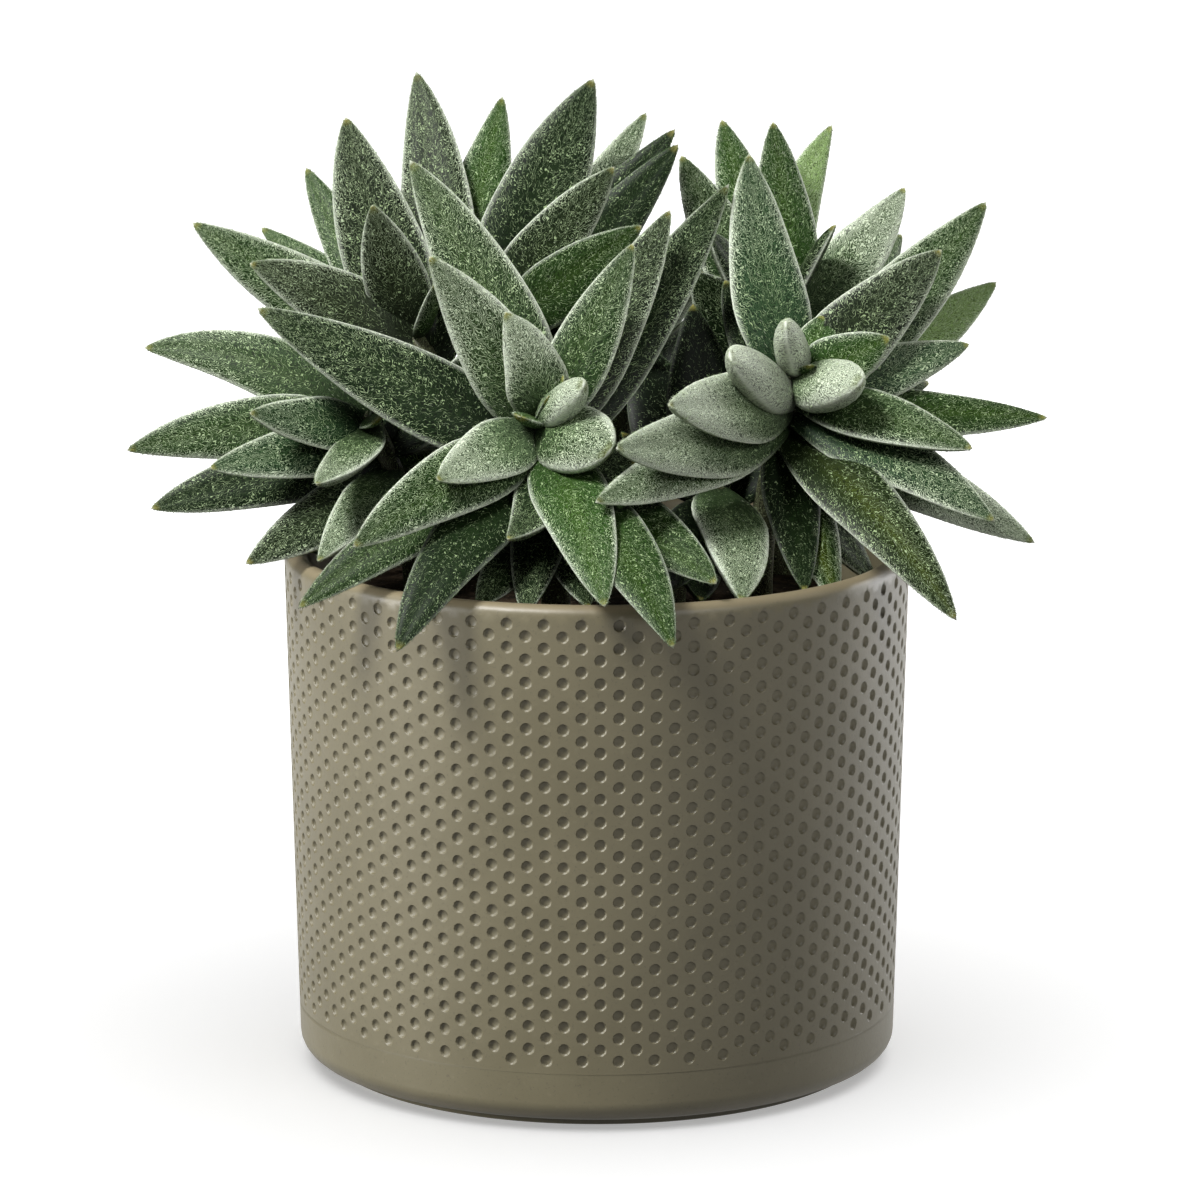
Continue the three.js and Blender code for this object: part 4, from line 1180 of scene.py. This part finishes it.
def soil_finish():
    """Soil: dark and lighter lumps with specks of grit."""
    soil = Finish("soil")
    place = soil.objects_place()
    lumps = soil.noise(place, LUMP_SCALE, detail=6.0, roughness=0.7)
    grit = soil.noise(place, GRIT_SCALE, detail=2.0, roughness=0.6)
    colour = soil.mix(lumps.between(0.35, 0.7), SOIL_DARK, SOIL_LIGHT)
    colour = soil.mix(grit.between(0.66, 0.72) * 0.5, colour, GRIT)
    normal = soil.bump(lumps, *SOIL_BUMP)
    return soil.surface(Base_Color=colour, Roughness=0.95, Normal=normal, Specular_IOR_Level=0.05)


soil_object = bpy.data.objects["soil"]
soil_object.data.materials.clear()
soil_object.data.materials.append(soil_finish())

# %% [markdown]
# ## Studio
#
# The plant stands on a plain white floor in soft light. The key lamp hangs at the upper left in
# front, with a weak fill on the right and a strip that draws the bright line along the pot's right
# side. These light everything but the floor. One more lamp stands low on the left. It reaches only
# the pot and only the pot blocks it, so each dimple is dark on its left and bright on its right
# while the leaves stay deep green. The floor has its own wide lamp overhead, so it keeps only the
# faint even shadow of a white table, and it throws no light back, so the gaps between the leaves
# stay dark. The floor also glows, more the further it lies from the pot: painted light that keeps
# it white, and a painted shadow round the pot's foot where it glows less.

# %% Floor
FLOOR_SIZE = 6000.0
FLOOR_GREY = (0.8, 0.8, 0.8, 1)
GLOW_NEAR = (0.36, 0.36, 0.36)
GLOW_FAR = (1.0, 1.0, 1.0)
WORLD_STRENGTH = 0.15


def paper_finish():
    """Paper: it glows more the further it lies from the pot, from 0.04 m to 0.5 m: painted light,
    with a painted shadow near the pot.
    """
    paper = Finish("paper")
    away = paper.vector("LENGTH", paper.objects_place(), output=1)
    # Painted light and shadow: the glow is dim near the pot and full from half a metre out.
    glow = paper.mix(away.between(0.04, 0.5), GLOW_NEAR, GLOW_FAR)
    glowing = dict(Emission_Color=glow, Emission_Strength=1.0)
    return paper.surface(Base_Color=FLOOR_GREY, Roughness=1.0, **glowing)


floor_points = np.array([[-1, -1, 0], [1, -1, 0], [1, 1, 0], [-1, 1, 0]]) * FLOOR_SIZE / 2
floor = make_piece("floor", floor_points, np.array([[0, 1, 2, 3]]))
floor.data.materials.append(paper_finish())
floor.visible_diffuse = False


# %% Lights
def light_group(name, member, state):
    """The objects a lamp reaches: only the member (INCLUDE) or all but the member (EXCLUDE)."""
    group = bpy.data.collections.new(name)
    group.objects.link(member)
    group.collection_objects[0].light_linking.link_state = state
    return group


floor_only = light_group("floor_only", floor, "INCLUDE")
pot_only = light_group("pot_only", pot, "INCLUDE")
all_but_floor = light_group("all_but_floor", floor, "EXCLUDE")


def lamp(name, place, size, power, aim=(0, 0, 60), tall=None, lights=all_but_floor):
    """A soft rectangular lamp at a place in millimetres that looks at another place."""
    data = bpy.data.lights.new(name, "AREA")
    data.shape = "RECTANGLE"
    data.size = size * MM
    data.size_y = (tall or size) * MM
    data.energy = power
    lamp_object = bpy.data.objects.new(name, data)
    bpy.context.scene.collection.objects.link(lamp_object)
    way = unit(np.array(aim, dtype=float) - place)
    lamp_object.location = np.array(place) * MM
    level = math.hypot(way[0], way[1])
    lamp_object.rotation_euler = (math.atan2(level, -way[2]), 0, math.atan2(-way[0], way[1]))
    lamp_object.light_linking.receiver_collection = lights
    if lights is pot_only:
        lamp_object.light_linking.blocker_collection = lights


lamp("low_left", (-790, -260, 225), 170, 7, lights=pot_only)
lamp("key", (-400, -330, 780), 260, 13.5)
lamp("fill", (420, -560, 480), 300, 2)
lamp("strip_right", (390, 240, 120), 120, 1.8, tall=400)
lamp("over_floor", (0, 0, 900), 1500, 13, aim=(0, 1, 0), lights=floor_only)

world = bpy.data.worlds.new("world")
bpy.context.scene.world = world
world.use_nodes = True
background = world.node_tree.nodes["Background"]
background.inputs["Color"].default_value = (1, 1, 1, 1)
background.inputs["Strength"].default_value = WORLD_STRENGTH
bpy.context.scene.view_settings.view_transform = "Standard"
print("lamps:", len(bpy.data.lights))
